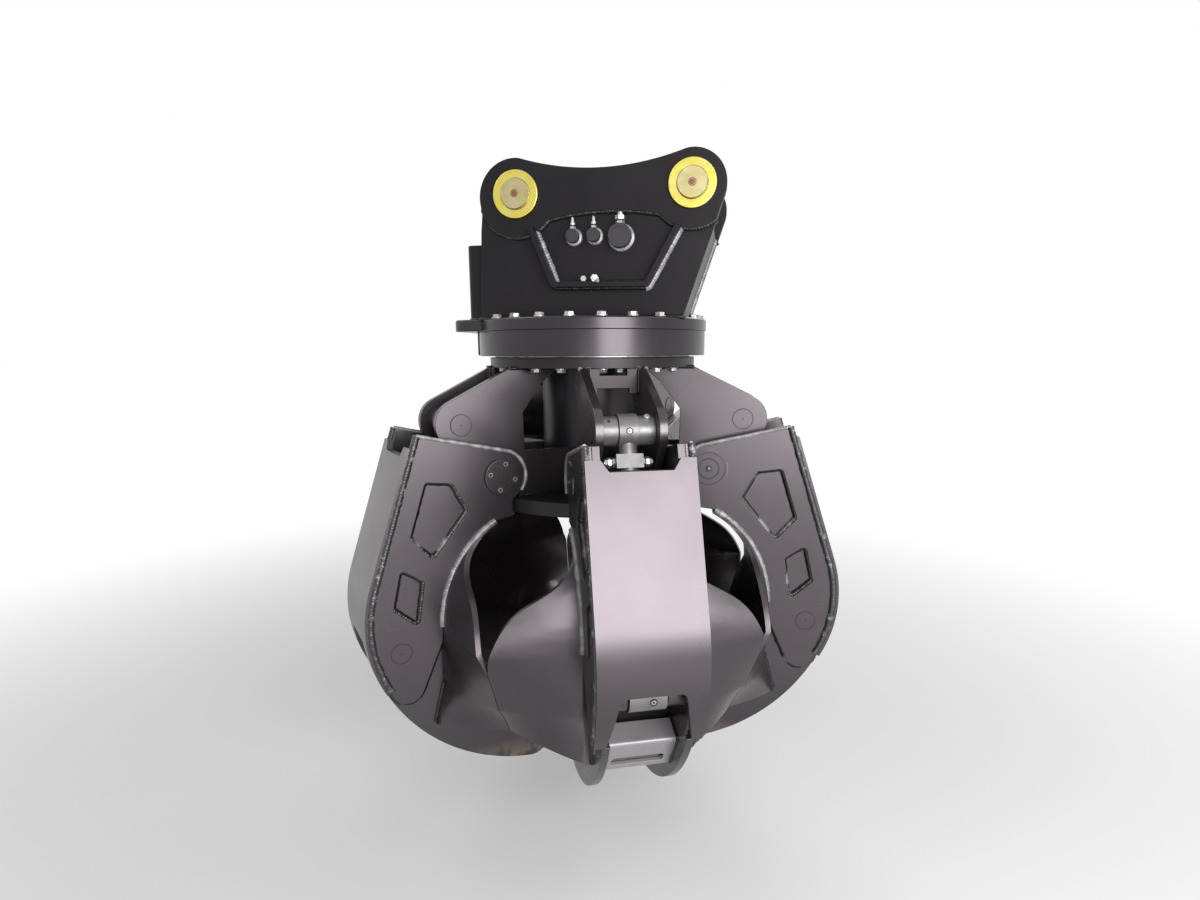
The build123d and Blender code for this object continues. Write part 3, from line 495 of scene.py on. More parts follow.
def circle_through(first, second, third):
    """Centre and radius of the circle through three points."""
    ax, ay, bx, by = second[0] - first[0], second[1] - first[1], third[0] - first[0], third[1] - first[1]
    twice = 2 * (ax * by - ay * bx)
    ux = (by * (ax * ax + ay * ay) - ay * (bx * bx + by * by)) / twice
    uy = (ax * (bx * bx + by * by) - bx * (ax * ax + ay * ay)) / twice
    return (first[0] + ux, first[1] + uy), hypot(ux, uy)


lean = atan2(back_bend[0] - back_top[0], back_top[1] - back_bend[1])
roll_centre = (back_bend[0] - back_roll_radius * cos(lean), back_bend[1] - back_roll_radius * sin(lean))
leaf_arc = circle_through(leaf_top, leaf_curve, leaf_wall)


def on_back_seam(point):
    """Whether a point lies where the cheek meets the back plate."""
    if point.z > back_bend[1] - bend_play:
        depth = (point.x - back_top[0]) * cos(lean) + (point.z - back_top[1]) * sin(lean)
        return near(depth, -back_thickness, on_curve)
    away = hypot(point.x - roll_centre[0], point.z - roll_centre[1])
    return near(away, back_roll_radius - back_thickness, on_curve)


def on_leaf_seam(point):
    """Whether a point lies where the cheek meets the upper leaf."""
    away = hypot(point.x - leaf_arc[0][0], point.z - leaf_arc[0][1])
    return leaf_wall_height < point.z < leaf_top_height and near(away, leaf_arc[1], on_curve)


def on_top_edge(point):
    """Whether a point lies on the cheek's upper edge, from the pivot's round to the back plate."""
    away = hypot(point.x - pivot[0], point.z - pivot[1])
    past_shoulder = point.x > cheek_shoulder[0] and point.z > cheek_shoulder[1]
    return past_shoulder or (near(away, cheek_round, on_curve) and point.z > cheek_round_foot)


def on_bore(point):
    """Whether a point lies on a pin's bore."""
    pins = [hypot(point.x - x, point.z - z) for x, z in (pivot, low_eye)]
    return min(pins) < pin_clear


def cheek_back_seam(point):
    """The seam of the cheek's face with the back plate."""
    return near(abs(point.y), cheek_outer) and on_back_seam(point) and not on_bore(point)


def cheek_leaf_seam(point):
    """The seam of the cheek's face with the leaf."""
    return near(abs(point.y), cheek_outer) and on_leaf_seam(point) and not on_bore(point)


def cheek_upper_seam(point):
    """The run along the cheek's upper edge, whose pale weld is a painted highlight."""
    return near(abs(point.y), cheek_outer) and on_top_edge(point) and not on_bore(point)


def cheek_inner_seam(point):
    """Seams down on the side plate: the cheek's nose and its two windows."""
    on_outline = on_back_seam(point) or on_leaf_seam(point) or on_top_edge(point)
    return near(abs(point.y), cheek_inner) and not on_outline and not on_bore(point)


def arm_seam(point):
    """The seam of the side plate with the leaf's lower wall and floor."""
    floor_line = leaf_crease[1] - floor_slope * (leaf_crease[0] - point.x)
    on_wall = leaf_crease[1] < point.z < leaf_wall_height and point.x < wall_reach
    on_floor = near(point.z, floor_line, on_curve) and point.x > arm_seam_end
    return near(abs(point.y), cheek_inner) and (on_wall or on_floor)


def cross_box_seam(point):
    """The seam of the cross box with the side plates."""
    return near(abs(point.y), box_half_width)


first_tine = standing(1).inverted()
tine_beads = [
    ("tine_1_cheek_plates", cheek_back_seam, 0.0100, painted_glint_weld, "back_weld"),
    ("tine_1_cheek_plates", cheek_leaf_seam, 0.0100, painted_sheen_weld, "leaf_weld"),
    ("tine_1_cheek_plates", cheek_upper_seam, 0.0058, painted_sheen_weld, "upper_weld"),
    ("tine_1_cheek_plates", cheek_inner_seam, 0.0105, window_weld, "window_weld"),
    ("tine_1_side_plates", arm_seam, 0.0065, dark_weld, "arm_weld"),
    ("tine_1_cross_box", cross_box_seam, 0.0045, dark_weld, "cross_box_weld"),
]
for node, rule, radius, finish, name in tine_beads:
    add_to_tines(name, bead(seams(node, rule, first_tine), radius, finish), "tine_{}")

wing_middle, wing_half = 0.0815, 0.011
wing_from, wing_foot = 0.1, -0.370
web_from, web_foot = 0.25, -0.069


def hub_plate_seam(point):
    """The ends of a pair of wing plates against the top flange and the bottom plate."""
    in_pair = point.x > wing_from and near(abs(abs(point.y) - wing_middle), wing_half, on_curve)
    return in_pair and (near(point.z, 0) or near(point.z, wing_foot))


def web_seam(point):
    """The sides of the web between a pair of wing plates."""
    on_side = near(abs(point.y), wing_middle - wing_half)
    return on_side and point.x > web_from and point.z > web_foot


for node, rule, radius, name in (
    ("hub_wing_plates", hub_plate_seam, 0.006, "wing_plate_weld"),
    ("hub_webs", web_seam, 0.005, "web_weld"),
):
    add_to_tines(name, bead(seams(node, rule, first_tine), radius, dark_weld), "hub")

head_half_width = 0.202
head_inner = 0.177
flange_top = -0.335
ear_clear = 0.075
ear_seam_reach = 0.085
ear_seam_height = -0.02
guard_run_reach = 0.02
slanted_from = 0.4
left_guard = ((0.051, -0.089), (0.112, -0.238))
right_guard = ((0.447, -0.092), (0.364, -0.241))
stick_pin, link_pin = (0.0, 0.0), (0.487, 0.0085)


def off_the_pins(point):
    """Whether a point is clear of the head's pin bores."""
    return min(hypot(point.x - x, point.z - z) for x, z in (stick_pin, link_pin)) > ear_clear


def head_foot(point):
    """The foot of a head plate on the base flange."""
    return near(point.z, flange_top)


def doubler_seam(point):
    """The lower edge of a doubler, where it ends on the side plate."""
    between_the_ears = stick_pin[0] - ear_seam_reach < point.x < link_pin[0] + ear_seam_reach
    on_plate = near(abs(point.y), head_half_width) and point.z < ear_seam_height
    return on_plate and off_the_pins(point) and between_the_ears


def guard_seam(point):
    """The foot of a guard bar on the front plate."""
    return near(point.y, -head_half_width)


def right_of(line, point):
    """How far a point of the front plate lies to the right of a line that runs down or up."""
    (x1, z1), (x2, z2) = line
    share = (point.z - z1) / (z2 - z1)
    return point.x - x1 - share * (x2 - x1)


def guard_highlight_seam(point):
    """The thick runs on the inner side of the left bar and the outer side of the right one, painted
    highlights.
    """
    beside_left = 0 < right_of(left_guard, point) < guard_run_reach
    beside_right = 0 < right_of(right_guard, point) < guard_run_reach
    return guard_seam(point) and (beside_left or beside_right)


def slanted_seam(point):
    """The seam of the slanted end plate between the side plates."""
    return point.x > slanted_from and near(abs(point.y), head_inner)


for node, rule, radius, finish, name in (
    ("head_side_plates", head_foot, 0.0070, dark_weld, "head_foot_weld"),
    ("head_end_plates", head_foot, 0.0050, dark_weld, "end_plate_weld"),
    ("head_doublers", doubler_seam, 0.0090, dark_weld, "doubler_weld"),
    ("guard_bars", guard_seam, 0.0080, dark_weld, "guard_weld"),
    # The guard runs' pale weld is a painted highlight.
    ("guard_bars", guard_highlight_seam, 0.0105, painted_sheen_weld, "guard_run"),
    ("head_end_plates", slanted_seam, 0.0080, painted_sheen_weld, "slanted_weld"),
):
    add_piece(name, bead(seams(node, rule), radius, finish), "head")

# Head pins
# Two 80 mm pins hold the head to the excavator's stick and link. They are turned steel with yellow
# zinc plating, each end a broad disc with a raised paler centre and a red-brown grease plug.
pin_half = 0.214
pin_disc_thickness = 0.012
pin_end_height = 0.008
pin_edge = 0.0025
pin_centre = [(0, -0.007), (0.0402, -0.007), (0.0402, -0.001), (0.0392, 0.0004), (0, 0.0004)]
pin_plug = [(0, 0), (0.0088, 0), (0.0080, 0.0022), (0.004, 0.0026), (0, 0.0026)]
disc_line, centre_line = (0.0412, 0.0024), (0.0098, 0.0014)
disc_line_height = 0.0005
metal_cloud, metal_grain = (22, 5), (60, 4)
turning_marks, mark_strength, mark_height = 900, 0.12, 0.0004
line_foot = -0.001
line_steps = 56


def closed_up(name, form, place):
    """Ends a form as a mesh with its faces turned outwards, put in its place."""
    bmesh.ops.recalc_face_normals(form, faces=form.faces)
    mesh = bpy.data.meshes.new(name)
    form.to_mesh(mesh)
    form.free()
    mesh.transform(place)
    return mesh


def turned_part(profile, place, segments=48):
    """A turned shape about a place's +Z, from radii and heights that start and end on the axis."""
    turned = bmesh.new()
    angles = [2 * pi * i / segments for i in range(segments)]
    rings = []
    for radius, height in profile:
        around = angles if radius > 0 else angles[:1]
        rings.append([turned.verts.new((radius * cos(a), radius * sin(a), height)) for a in around])
    for lower, upper in zip(rings, rings[1:]):
        for i in range(segments):
            corners = ((lower, i), (lower, i + 1), (upper, i + 1), (upper, i))
            corners = [ring[k % segments % len(ring)] for ring, k in corners]
            turned.faces.new(list(dict.fromkeys(corners)))
    return closed_up("turned", turned, place)


def band(name, section, angles, closed, place):
    """A small section of radii and heights swept round a place's +Z, in full or in part."""
    swept = bmesh.new()
    rows = [[swept.verts.new((r * cos(a), r * sin(a), z)) for a in angles] for r, z in section]
    for first, second in zip(rows, rows[1:] + rows[:1]):
        for i in range(len(angles) if closed else len(angles) - 1):
            j = (i + 1) % len(angles)
            swept.faces.new([first[i], first[j], second[j], second[i]])
    if not closed:
        for end in (0, -1):
            swept.faces.new([row[end] for row in rows])
    return closed_up(name, swept, place)


def ring_at(radius, width, place, height=0.0006):
    """A thin flat line round a centre, which stands a little proud."""
    inner, outer = radius - width / 2, radius + width / 2
    section = [(inner, line_foot), (outer, line_foot), (outer, height), (inner, height)]
    return band("ring_line", section, [2 * pi * i / line_steps for i in range(line_steps)], True, place)


def joined(meshes):
    """Several meshes as one."""
    whole = bmesh.new()
    for mesh in meshes:
        whole.from_mesh(mesh)
    mesh = bpy.data.meshes.new("joined")
    whole.to_mesh(mesh)
    whole.free()
    return mesh


def facing_along(point, direction):
    """A place whose +Z points along a direction."""
    return Matrix.Translation(point) @ Vector(direction).to_track_quat("Z", "Y").to_matrix().to_4x4()


def turned_steel(name, colour, shade, rough, axis_at=None, metal=1.0):
    """Turned or plated steel, with faint rings round an axis along Y where one is given."""
    material, tree, shader = new_material(name)
    place = place_node(tree, "ShaderNodeTexCoord").outputs["Object"]
    cloud = spread(tree, noise(tree, place, *metal_cloud), 0.4, 0.66, 0.0, 1.0)
    tree.links.new(blend(tree, cloud, colour, shade), shader.inputs["Base Color"])
    gloss = spread(tree, noise(tree, place, *metal_grain), 0.3, 0.7, rough - 0.05, rough + 0.07)
    tree.links.new(gloss, shader.inputs["Roughness"])
    shader.inputs["Metallic"].default_value = metal
    if axis_at is not None:
        ends = {0: place, 1: (axis_at[0], 0, axis_at[1])}
        offset = place_node(tree, "ShaderNodeVectorMath", ends, operation="SUBTRACT").outputs[0]
        marks = {"W": span(tree, offset, (1, 0, 1)), "Scale": turning_marks, "Detail": 2}
        rings = place_node(tree, "ShaderNodeTexNoise", marks, noise_dimensions="1D")
        bump(tree, shader, rings.outputs["Fac"], mark_strength, mark_height)
    return material


plug_red = turned_steel("plug_red", (0.26, 0.075, 0.040), (0.17, 0.05, 0.03), 0.45, metal=0.0)
# Near-black discs stand for the shade in recesses, sockets and holes: painted shade. The fittings' small
# necks take the same dark finish.
recess_shade_and_dark_necks = turned_steel("recess_shade_and_dark_necks", (0.012, 0.012, 0.013), (0.02, 0.02, 0.022), 0.55, metal=0.0)
bright_zinc = turned_steel("bright_zinc", (0.52, 0.51, 0.51), (0.36, 0.355, 0.36), 0.36, metal=0.7)
# Near-black fine rings stand for the shade in grooves and gaps round pins: painted shade.
painted_groove_shade = turned_steel("painted_groove_shade", (0.010, 0.009, 0.010), (0.016, 0.014, 0.016), 0.6, metal=0.0)

for name, centre in (("stick_pin", stick_pin), ("link_pin", link_pin)):
    rim = turned_steel(name + "_zinc", (0.64, 0.54, 0.10), (0.68, 0.59, 0.17), 0.32, centre)
    raised = turned_steel(name + "_centre", (0.43, 0.37, 0.18), (0.48, 0.42, 0.24), 0.38, centre)
    finish_node(name, rim, pin_edge)
    centres, grooves, plugs = [], [], []
    for end in (1, -1):
        disc_face = pin_half + pin_disc_thickness
        disc = facing_along((centre[0], end * disc_face, centre[1]), (0, end, 0))
        face = facing_along((centre[0], end * (disc_face + pin_end_height), centre[1]), (0, end, 0))
        centres.append(turned_part(pin_centre, face, 64))
        plugs.append(turned_part(pin_plug, face, 6))
        # The discs' groove lines are painted shade.
        grooves += [ring_at(*disc_line, disc, disc_line_height), ring_at(*centre_line, face)]
    add_piece(name + "_centres", joined(centres), "head", raised)
    add_piece(name + "_grooves", joined(grooves), "head", painted_groove_shade)
    add_piece(name + "_plugs", joined(plugs), "head", plug_red)

# Oil ports
# Three steel stubs welded to the front plate take the machine's hoses. They are shut with dark caps,
# and each carries a zinc-plated fitting on top: two pointed nipples and one stack of hexagons. Below
# them, two more fittings are screwed into the guard bar.
port_face = -head_half_width
nipple_ports = [(0.161, -0.116, 0.0185, 0.034), (0.220, -0.115, 0.0185, 0.034)]
stack_port = (0.294, -0.120, 0.032, 0.040)
nipple = [(0, 0.012), (0.0072, 0.012), (0.0072, 0.018), (0.0050, 0.0195)]
nipple += [(0.0036, 0.027), (0.0042, 0.029), (0.0022, 0.0325), (0, 0.033)]
stack = [(0, 0.012), (0.0125, 0.012), (0.0140, 0.0135), (0.0140, 0.0225), (0.0128, 0.0240), (0, 0.0240)]
stack_turn = radians(20)
fitting_along, fitting_up = 0.55, 0.93
bar_front, bar_height = -0.244, -0.232
bar_left, bar_right = 0.196, 0.226
bar_stack = [(0, 0), (0.0115, 0), (0.0115, 0.008), (0.010, 0.009)]
bar_stack += [(0.0065, 0.009), (0.0065, 0.016), (0, 0.016)]
cap_paint = sprayed_paint("cap_paint", (0.022, 0.022, 0.025), (0.032, 0.032, 0.035), 0.5, 0.46)


def stub(radius, foot, top, bevel=None):
    """The profile of a round stub, its upper edge cut back by a bevel's width and depth."""
    across, down = bevel or (0, 0)
    edge = [(radius, top - down), (radius - across, top)] if bevel else [(radius, top)]
    return [(0, foot), (radius, foot), *edge, (0, top)]


def cap_profile(radius, reach):
    """The profile of a port's cap: a narrow foot, a groove, and a rim round a sunken face."""
    foot = [(0, -0.002), (radius * 0.92, -0.002), (radius * 0.92, reach * 0.34)]
    groove = [(radius * 0.86, reach * 0.36), (radius * 0.86, reach * 0.42), (radius, reach * 0.44)]
    rim = [(radius, reach - 0.002), (radius - 0.002, reach), (radius * 0.72, reach)]
    return foot + groove + rim + [(radius * 0.70, reach - 0.0012), (0, reach - 0.0012)]


def port_weld(radius):
    """The profile of the weld round a port's foot."""
    return [(0, -0.001), (radius + 0.006, -0.001), (radius + 0.004, 0.004), (radius * 0.9, 0.006), (0, 0.006)]


def on_port(x, z, radius, reach):
    """The place on top of a port where its fitting is screwed in."""
    return Matrix.Translation((x, port_face - reach * fitting_along, z + radius * fitting_up))


nipple_hexagon = stub(0.0088, 0, 0.0082, (0.0008, 0.0007))
nipple_neck = stub(0.0055, 0.008, 0.0125)
stack_hexagon = stub(0.0128, 0, 0.0095, (0.001, 0.001))
stack_neck = stub(0.0095, 0.009, 0.0125)
stack_tip = stub(0.0075, 0.023, 0.033, (0.002, 0.002))
port_caps, port_zinc, port_dark, port_beads = [], [], [], []
for x, z, radius, reach in (*nipple_ports, stack_port):
    outwards = facing_along((x, port_face, z), (0, -1, 0))
    port_caps.append(turned_part(cap_profile(radius, reach), outwards, 40))
    port_beads.append(turned_part(port_weld(radius), outwards, 28))
for port in nipple_ports:
    upwards = on_port(*port)
    port_dark.append(turned_part(nipple_neck, upwards, 16))
    port_zinc += [turned_part(nipple_hexagon, upwards, 6), turned_part(nipple, upwards, 12)]
upwards = on_port(*stack_port)
port_dark.append(turned_part(stack_neck, upwards, 20))
port_zinc += [turned_part(stack_hexagon, upwards, 6), turned_part(stack_tip, upwards, 20)]
port_zinc.append(turned_part(stack, upwards @ Matrix.Rotation(stack_turn, 4, "Z"), 6))
caps = add_piece("port_caps", joined(port_caps), "head", cap_paint)
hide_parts("port_couplings")
add_piece("port_fittings", joined(port_zinc), "head", bright_zinc)
add_piece("port_necks", joined(port_dark), "head", recess_shade_and_dark_necks)
add_piece("port_welds", joined(port_beads), "head", painted_sheen_weld)

bar_bolt = stub(0.0085, 0, 0.010, (0.001, 0.001))
bar_nozzle = stub(0.0055, 0, 0.020, (0.0015, 0.002))
bar_parts = []
for x, way, profile, segments in (
    (bar_left, (0, -1, 0), bar_bolt, 6),
    (bar_right, (0.2, -1, 0.1), bar_stack, 6),
    (bar_right, (0.9, -1, -0.6), bar_nozzle, 16),
):
    bar_parts.append(turned_part(profile, facing_along((x, bar_front, bar_height), way), segments))
add_piece("bar_fitting", joined(bar_parts), "head", bright_zinc)

# Bolts of the slewing ring
# Hexagon bolts with washers hold the head's flange down on the ring, and a second circle holds the
# hub's flange up to it from below. They are zinc plated and were fitted after the paint.
bolt_circle = 0.330
bolt_pitch = 15
bolts_left_out = (30, 150, 180, 210, 330)
ring_bolt_circle = 0.290
ring_bolt_turns = (-28, -5, 5, 28)
crown_share, crown_height_share = 0.82, 0.16
bolt_size = {"Head Radius": 0.0138, "Head Height": 0.0105, "Washer Radius": 0.0165, "Washer Thickness": 0.003}
bolt_tree, given = new_tree("hex_bolts", [*bolt_size, "Tip Over"])


def lifted(tree, shape, height):
    """A shape raised by a height."""
    rise = place_node(tree, "ShaderNodeCombineXYZ", {"Z": height}).outputs[0]
    return place_node(tree, "GeometryNodeTransform", {"Geometry": shape, "Translation": rise}).outputs[0]


head_size = {"Vertices": 6, "Radius": given["Head Radius"], "Depth": given["Head Height"]}
prism = place_node(bolt_tree, "GeometryNodeMeshCylinder", head_size).outputs["Mesh"]
prism = lifted(bolt_tree, prism, maths(bolt_tree, "MULTIPLY", given["Head Height"], 0.5))
crown_size = {
    "Vertices": 6,
    "Radius Top": maths(bolt_tree, "MULTIPLY", given["Head Radius"], crown_share),
    "Radius Bottom": given["Head Radius"],
    "Depth": maths(bolt_tree, "MULTIPLY", given["Head Height"], crown_height_share),
}
crown = place_node(bolt_tree, "GeometryNodeMeshCone", crown_size).outputs["Mesh"]
crown = lifted(bolt_tree, crown, given["Head Height"])
washer_size = {"Vertices": 20, "Radius": given["Washer Radius"], "Depth": given["Washer Thickness"]}
washer = place_node(bolt_tree, "GeometryNodeMeshCylinder", washer_size).outputs["Mesh"]
washer = lifted(bolt_tree, washer, maths(bolt_tree, "MULTIPLY", given["Washer Thickness"], 0.5))
whole_bolt = place_node(bolt_tree, "GeometryNodeJoinGeometry")
for piece in (prism, crown, washer):
    bolt_tree.links.new(piece, whole_bolt.inputs[0])
tipped = {"Geometry": whole_bolt.outputs[0]}
tipped["Rotation"] = place_node(bolt_tree, "ShaderNodeCombineXYZ", {"X": given["Tip Over"]}).outputs[0]
whole_bolt = place_node(bolt_tree, "GeometryNodeTransform", tipped).outputs[0]
turns = {0: (0, 0, 0), 1: (0, 0, 2 * pi), "Seed": 4}
turn = place_node(bolt_tree, "FunctionNodeRandomValue", turns, data_type="FLOAT_VECTOR").outputs[0]
places = place_node(bolt_tree, "GeometryNodeMeshToPoints", {"Mesh": given["Base"]}).outputs[0]
fitted = {"Points": places, "Instance": whole_bolt, "Rotation": turn}
bolts = place_node(bolt_tree, "GeometryNodeInstanceOnPoints", fitted).outputs[0]
end_tree(bolt_tree, bolts, given["Finish"])
bolt_zinc = turned_steel("bolt_zinc", (0.50, 0.49, 0.48), (0.10, 0.095, 0.10), 0.36, metal=0.7)


def bolt_ring(radius, angles, height, tip_over):
    """A circle of bolts about the slewing axis, upright or tipped over."""
    spots = [(slew_axis.x + radius * cos(a), radius * sin(a), height) for a in angles]
    points = bpy.data.meshes.new("bolt_points")
    points.from_pydata(spots, [], [])
    return shaped(bolt_tree, points, {**bolt_size, "Tip Over": tip_over, "Finish": bolt_zinc})


flange_angles = [radians(angle) for angle in range(0, 360, bolt_pitch) if angle not in bolts_left_out]
heads = bolt_ring(bolt_circle, flange_angles, flange_top, 0.0)
upper = add_piece("flange_bolt_heads", heads, "head")
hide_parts("flange_bolts")
ring_angles = [tine_turns[number] + radians(turn) for number in tine_numbers for turn in ring_bolt_turns]
heads = bolt_ring(ring_bolt_circle, ring_angles, hub_height, pi)
lower = add_piece("ring_bolt_heads", heads, "hub")
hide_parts("ring_bolts")

# Slewing drive
# The ring's inner race carries the gear, driven by a small pinion, with the oil swivel in the
# middle. They are bare machined steel, greased, and hardly show behind the flange.
machined_edge = 0.0008
greased_steel = turned_steel("greased_steel", (0.30, 0.29, 0.28), (0.18, 0.17, 0.16), 0.30)
for name in ("inner_ring", "swivel_core", "drive_pinion"):
    finish_node(name, greased_steel, machined_edge)

# Cylinders
# A cylinder's rod hangs from the ear pin by its eye, and its barrel's eye sits on the tine's low pin.
# Rod, collars, square port block and barrel are satin steel, and the block carries a zinc-plated hose
# fitting on each side.
cylinder_edge = 0.002
block_drop = 0.082
block_half = 0.035
fitting_nut = [(0, 0.0095), (0.0128, 0.0095), (0.0136, 0.0105)]
fitting_nut += [(0.0136, 0.019), (0.0126, 0.020), (0, 0.020)]
fitting_tail = [(0, 0.0195), (0.0092, 0.0195), (0.0092, 0.024)]
fitting_tail += [(0.0075, 0.0255), (0.0075, 0.0285), (0, 0.0285)]
nut_turn = radians(15)
eye_face_at, eye_mark_angle = 0.0438, 6
low_eye_face_at, low_mark_angle, low_mark_shift = 0.0436, -8, 0.012
collar_at = 0.050
collar_hole_at, collar_hole_angle = 0.0378, 48
collar_screw_at, collar_screw_angle = 0.036, 62
collar_screw = [(0, 0), (0.0085, 0), (0.0085, 0.0085), (0.0075, 0.0098)]
collar_screw += [(0.0045, 0.0098), (0.0045, 0.006), (0, 0.006)]
satin_steel = turned_steel("satin_steel", (0.19, 0.183, 0.188), (0.14, 0.135, 0.139), 0.40, metal=0.5)
finish_node("ear_pins", satin_steel, cylinder_edge)
for number in tine_numbers:
    finish_node(f"cylinder_{number}_rod", satin_steel, cylinder_edge)
    finish_node(f"cylinder_{number}_barrel", satin_steel, cylinder_edge)


def plug(radius, top_radius, top):
    """The profile of a low plug that narrows upwards."""
    return [(0, 0), (radius, 0), (top_radius, top), (0, top)]


def on_round(centre, aside, away, angle):
    """A place on a round part about a pin, facing outwards and up by an angle in degrees."""
    way = Vector((cos(radians(angle)), 0, sin(radians(angle))))
    return facing_along(Vector((centre[0], aside, centre[1])) + away * way, way)


fitting_hexagon = stub(0.0135, 0, 0.0068, (0.0017, 0.0008))
fitting_neck = stub(0.0098, 0.006, 0.010)
eye_line, eye_disc, eye_dot = (0.0076, 0.0030), plug(0.0060, 0.0056, 0.0010), plug(0.0030, 0.0028, 0.0022)
low_line, low_disc, low_dot = (0.0080, 0.0030), plug(0.0064, 0.0060, 0.0012), plug(0.0032, 0.0030, 0.0024)
eye_line_height, low_line_height = 0.0012, 0.0014
collar_hole = plug(0.0045, 0.0042, 0.0012)

rod_angle = atan2(low_eye[0] - ear[0], ear[1] - low_eye[1])
rod_way = Vector((sin(rod_angle), 0, -cos(rod_angle)))
block_middle = Vector((ear[0], 0, ear[1])) + rod_way * block_drop
silver, dark = [], []
for side in (1, -1):
    outwards = facing_along(block_middle + Vector((0, side * block_half, 0)), (0, side, 0))
    dark.append(turned_part(fitting_neck, outwards, 20))
    silver += [turned_part(fitting_hexagon, outwards, 6), turned_part(fitting_tail, outwards, 20)]
    silver.append(turned_part(fitting_nut, outwards @ Matrix.Rotation(side * nut_turn, 4, "Z"), 6))
eye_face = on_round(ear, 0, eye_face_at, eye_mark_angle)
silver.append(turned_part(eye_disc, eye_face, 20))
dark += [ring_at(*eye_line, eye_face, eye_line_height), turned_part(eye_dot, eye_face, 12)]
add_to_tines("rod_fittings", joined(silver), "rod_{}", bright_zinc)
# The eye's ring and dot in this dark finish are painted shade.
add_to_tines("rod_marks", joined(dark), "rod_{}", recess_shade_and_dark_necks)

low_face = on_round(low_eye, low_mark_shift, low_eye_face_at, low_mark_angle)
hole = [ring_at(*low_line, low_face, low_line_height), turned_part(low_dot, low_face, 12)]
# The barrel eye's hole and its ring are painted shade.
add_to_tines("low_eye_holes", joined(hole), "barrel_{}", recess_shade_and_dark_necks)
add_to_tines("low_eye_rims", turned_part(low_disc, low_face, 20), "barrel_{}", bright_zinc)

screw = turned_part(collar_screw, on_round(ear, collar_at, collar_screw_at, collar_screw_angle), 24)
hole = turned_part(collar_hole, on_round(ear, -collar_at, collar_hole_at, collar_hole_angle), 16)
add_to_tines("collar_screws", screw, "hub", bright_zinc)
# The collar's hole is a dark disc: painted shade.
add_to_tines("collar_holes", hole, "hub", recess_shade_and_dark_necks)

# Pins of the tines and the hub
# A pivot pin is held by a round cap with four socket screws on one side, and on the other it shows
# its grease nipple. The ear pins and low pins are ground flush, so only a fine line shows round them.
cap_face_at = 0.145
screw_count = 4
screw_circle, screw_start = 0.0375, 76
# The screws' recesses and sockets are dark discs: painted shade.
screw_layers = [(0.0095, 0.0010, recess_shade_and_dark_necks), (0.0060, 0.0016, bright_zinc), (0.0047, 0.0024, recess_shade_and_dark_necks)]
cap_lines = [(0.0235, 0.0022), (0.0014, 0.0020)]
# A dark ring round the cap's foot on the cheek is a painted shadow.
cap_shadow_line = (0.0535, 0.0040)
nipple_lines = [(0.0300, 0.0032), (0.0490, 0.0022)]
low_pin_lines = [(0.0290, 0.0024), (0.0014, 0.0020)]
ear_lines = [(0.0300, 0.0024), (0.0014, 0.0020)]
ear_face_at, ear_line_height = 0.0930, 0.0010
ear_pin_end = [(0, -0.001), (0.0294, -0.001), (0.0294, 0.0002), (0.0290, 0.0006), (0, 0.0006)]
grease_nipple = [(0, 0.001), (0.0055, 0.001), (0.0055, 0.004), (0.0030, 0.0048), (0.0030, 0.007), (0, 0.0078)]
nipple_recess = stub(0.0095, 0, 0.0015)
nipple_weld = (0.0560, 0.0055, 0.0016)
nipple_highlight_stretches = [(60, 120), (-25, 20)]
nipple_weld_steps = 24
screw_tree, given = new_tree("socket_screws", ["Head Radius", "Head Height"])
head_size = {"Vertices": 20, "Radius": given["Head Radius"], "Depth": given["Head Height"]}
disc = place_node(screw_tree, "GeometryNodeMeshCylinder", head_size).outputs["Mesh"]
places = place_node(screw_tree, "GeometryNodeMeshToPoints", {"Mesh": given["Base"]}).outputs[0]
fitted = {"Points": places, "Instance": disc}
discs = place_node(screw_tree, "GeometryNodeInstanceOnPoints", fitted).outputs[0]
end_tree(screw_tree, discs, given["Finish"])

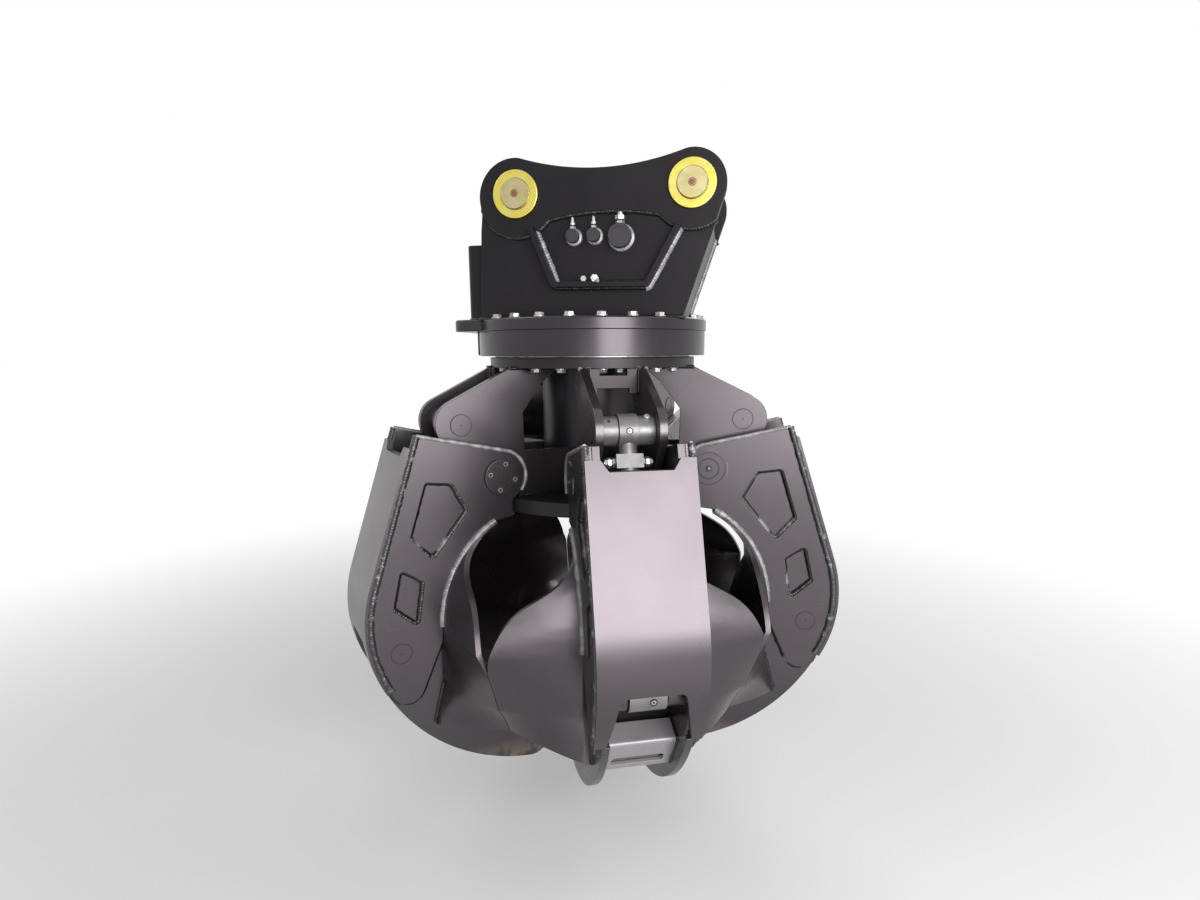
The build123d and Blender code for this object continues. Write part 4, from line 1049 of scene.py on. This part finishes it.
cap_place = facing_along((pivot[0], cap_face_at, pivot[1]), (0, 1, 0))
screw_spots = bpy.data.meshes.new("screw_spots")
angles = [radians(screw_start) + 2 * pi * i / screw_count for i in range(screw_count)]
screw_spots.from_pydata([(screw_circle * cos(a), screw_circle * sin(a), 0) for a in angles], [], [])
layers = []
for radius, height, finish in screw_layers:
    sizes = {"Head Radius": radius, "Head Height": height}
    layers.append(shaped(screw_tree, screw_spots, {**sizes, "Finish": finish}))
    layers[-1].transform(cap_place)
recesses, heads, sockets = layers
add_to_tines("cap_screw_recesses", joined([recesses, sockets]), "tine_{}", recess_shade_and_dark_necks)
add_to_tines("cap_screws", heads, "tine_{}", bright_zinc)


def at_cheek(centre, side):
    """A place on a cheek's outer face, over a pin."""
    return facing_along((centre[0], side * cheek_outer, centre[1]), (0, side, 0))


nipple_place = at_cheek(pivot, -1)
# The fine dark rings round the cap, nipple and low pins are painted shade.
fine_lines = [ring_at(*line, cap_place) for line in cap_lines] + [ring_at(*cap_shadow_line, at_cheek(pivot, 1))]
fine_lines += [ring_at(*line, nipple_place) for line in nipple_lines]
fine_lines += [ring_at(*line, at_cheek(low_eye, side)) for side in (1, -1) for line in low_pin_lines]
add_to_tines("pin_lines", joined(fine_lines), "tine_{}", painted_groove_shade)

# Two pale weld arcs beside the nipple, on chosen stretches, are painted highlights on its boss.
radius, width, height = nipple_weld
section = [(radius - width / 2, line_foot), (radius + width / 2, line_foot), (radius, height)]
arcs = []
for first, last in nipple_highlight_stretches:
    step = (last - first) / nipple_weld_steps
    angles = [radians(first + step * i) for i in range(nipple_weld_steps + 1)]
    arcs.append(band("part_ring", section, angles, False, nipple_place))
add_to_tines("nipple_highlight_welds", joined(arcs), "tine_{}", painted_sheen_weld)
# The nipple's recess is a dark disc: painted shade.
add_to_tines("nipple_recess", turned_part(nipple_recess, nipple_place, 24), "tine_{}", recess_shade_and_dark_necks)
nipple = turned_part(grease_nipple, nipple_place, 6)
add_to_tines("grease_nipples", nipple, "tine_{}", satin_steel)

lines, ends = [], []
for side in (1, -1):
    ear_place = facing_along((ear[0], side * ear_face_at, ear[1]), (0, side, 0))
    lines += [ring_at(*line, ear_place, ear_line_height) for line in ear_lines]
    ends.append(turned_part(ear_pin_end, ear_place, 48))
# The ear pins' fine lines are painted shade.
add_to_tines("ear_lines", joined(lines), "hub", painted_groove_shade)
add_to_tines("ear_pin_ends", joined(ends), "hub", hub_paint)

visual_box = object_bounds()
sizes = {"cad": [list(corner) for corner in cad_box], "visual": [list(corner) for corner in visual_box]}
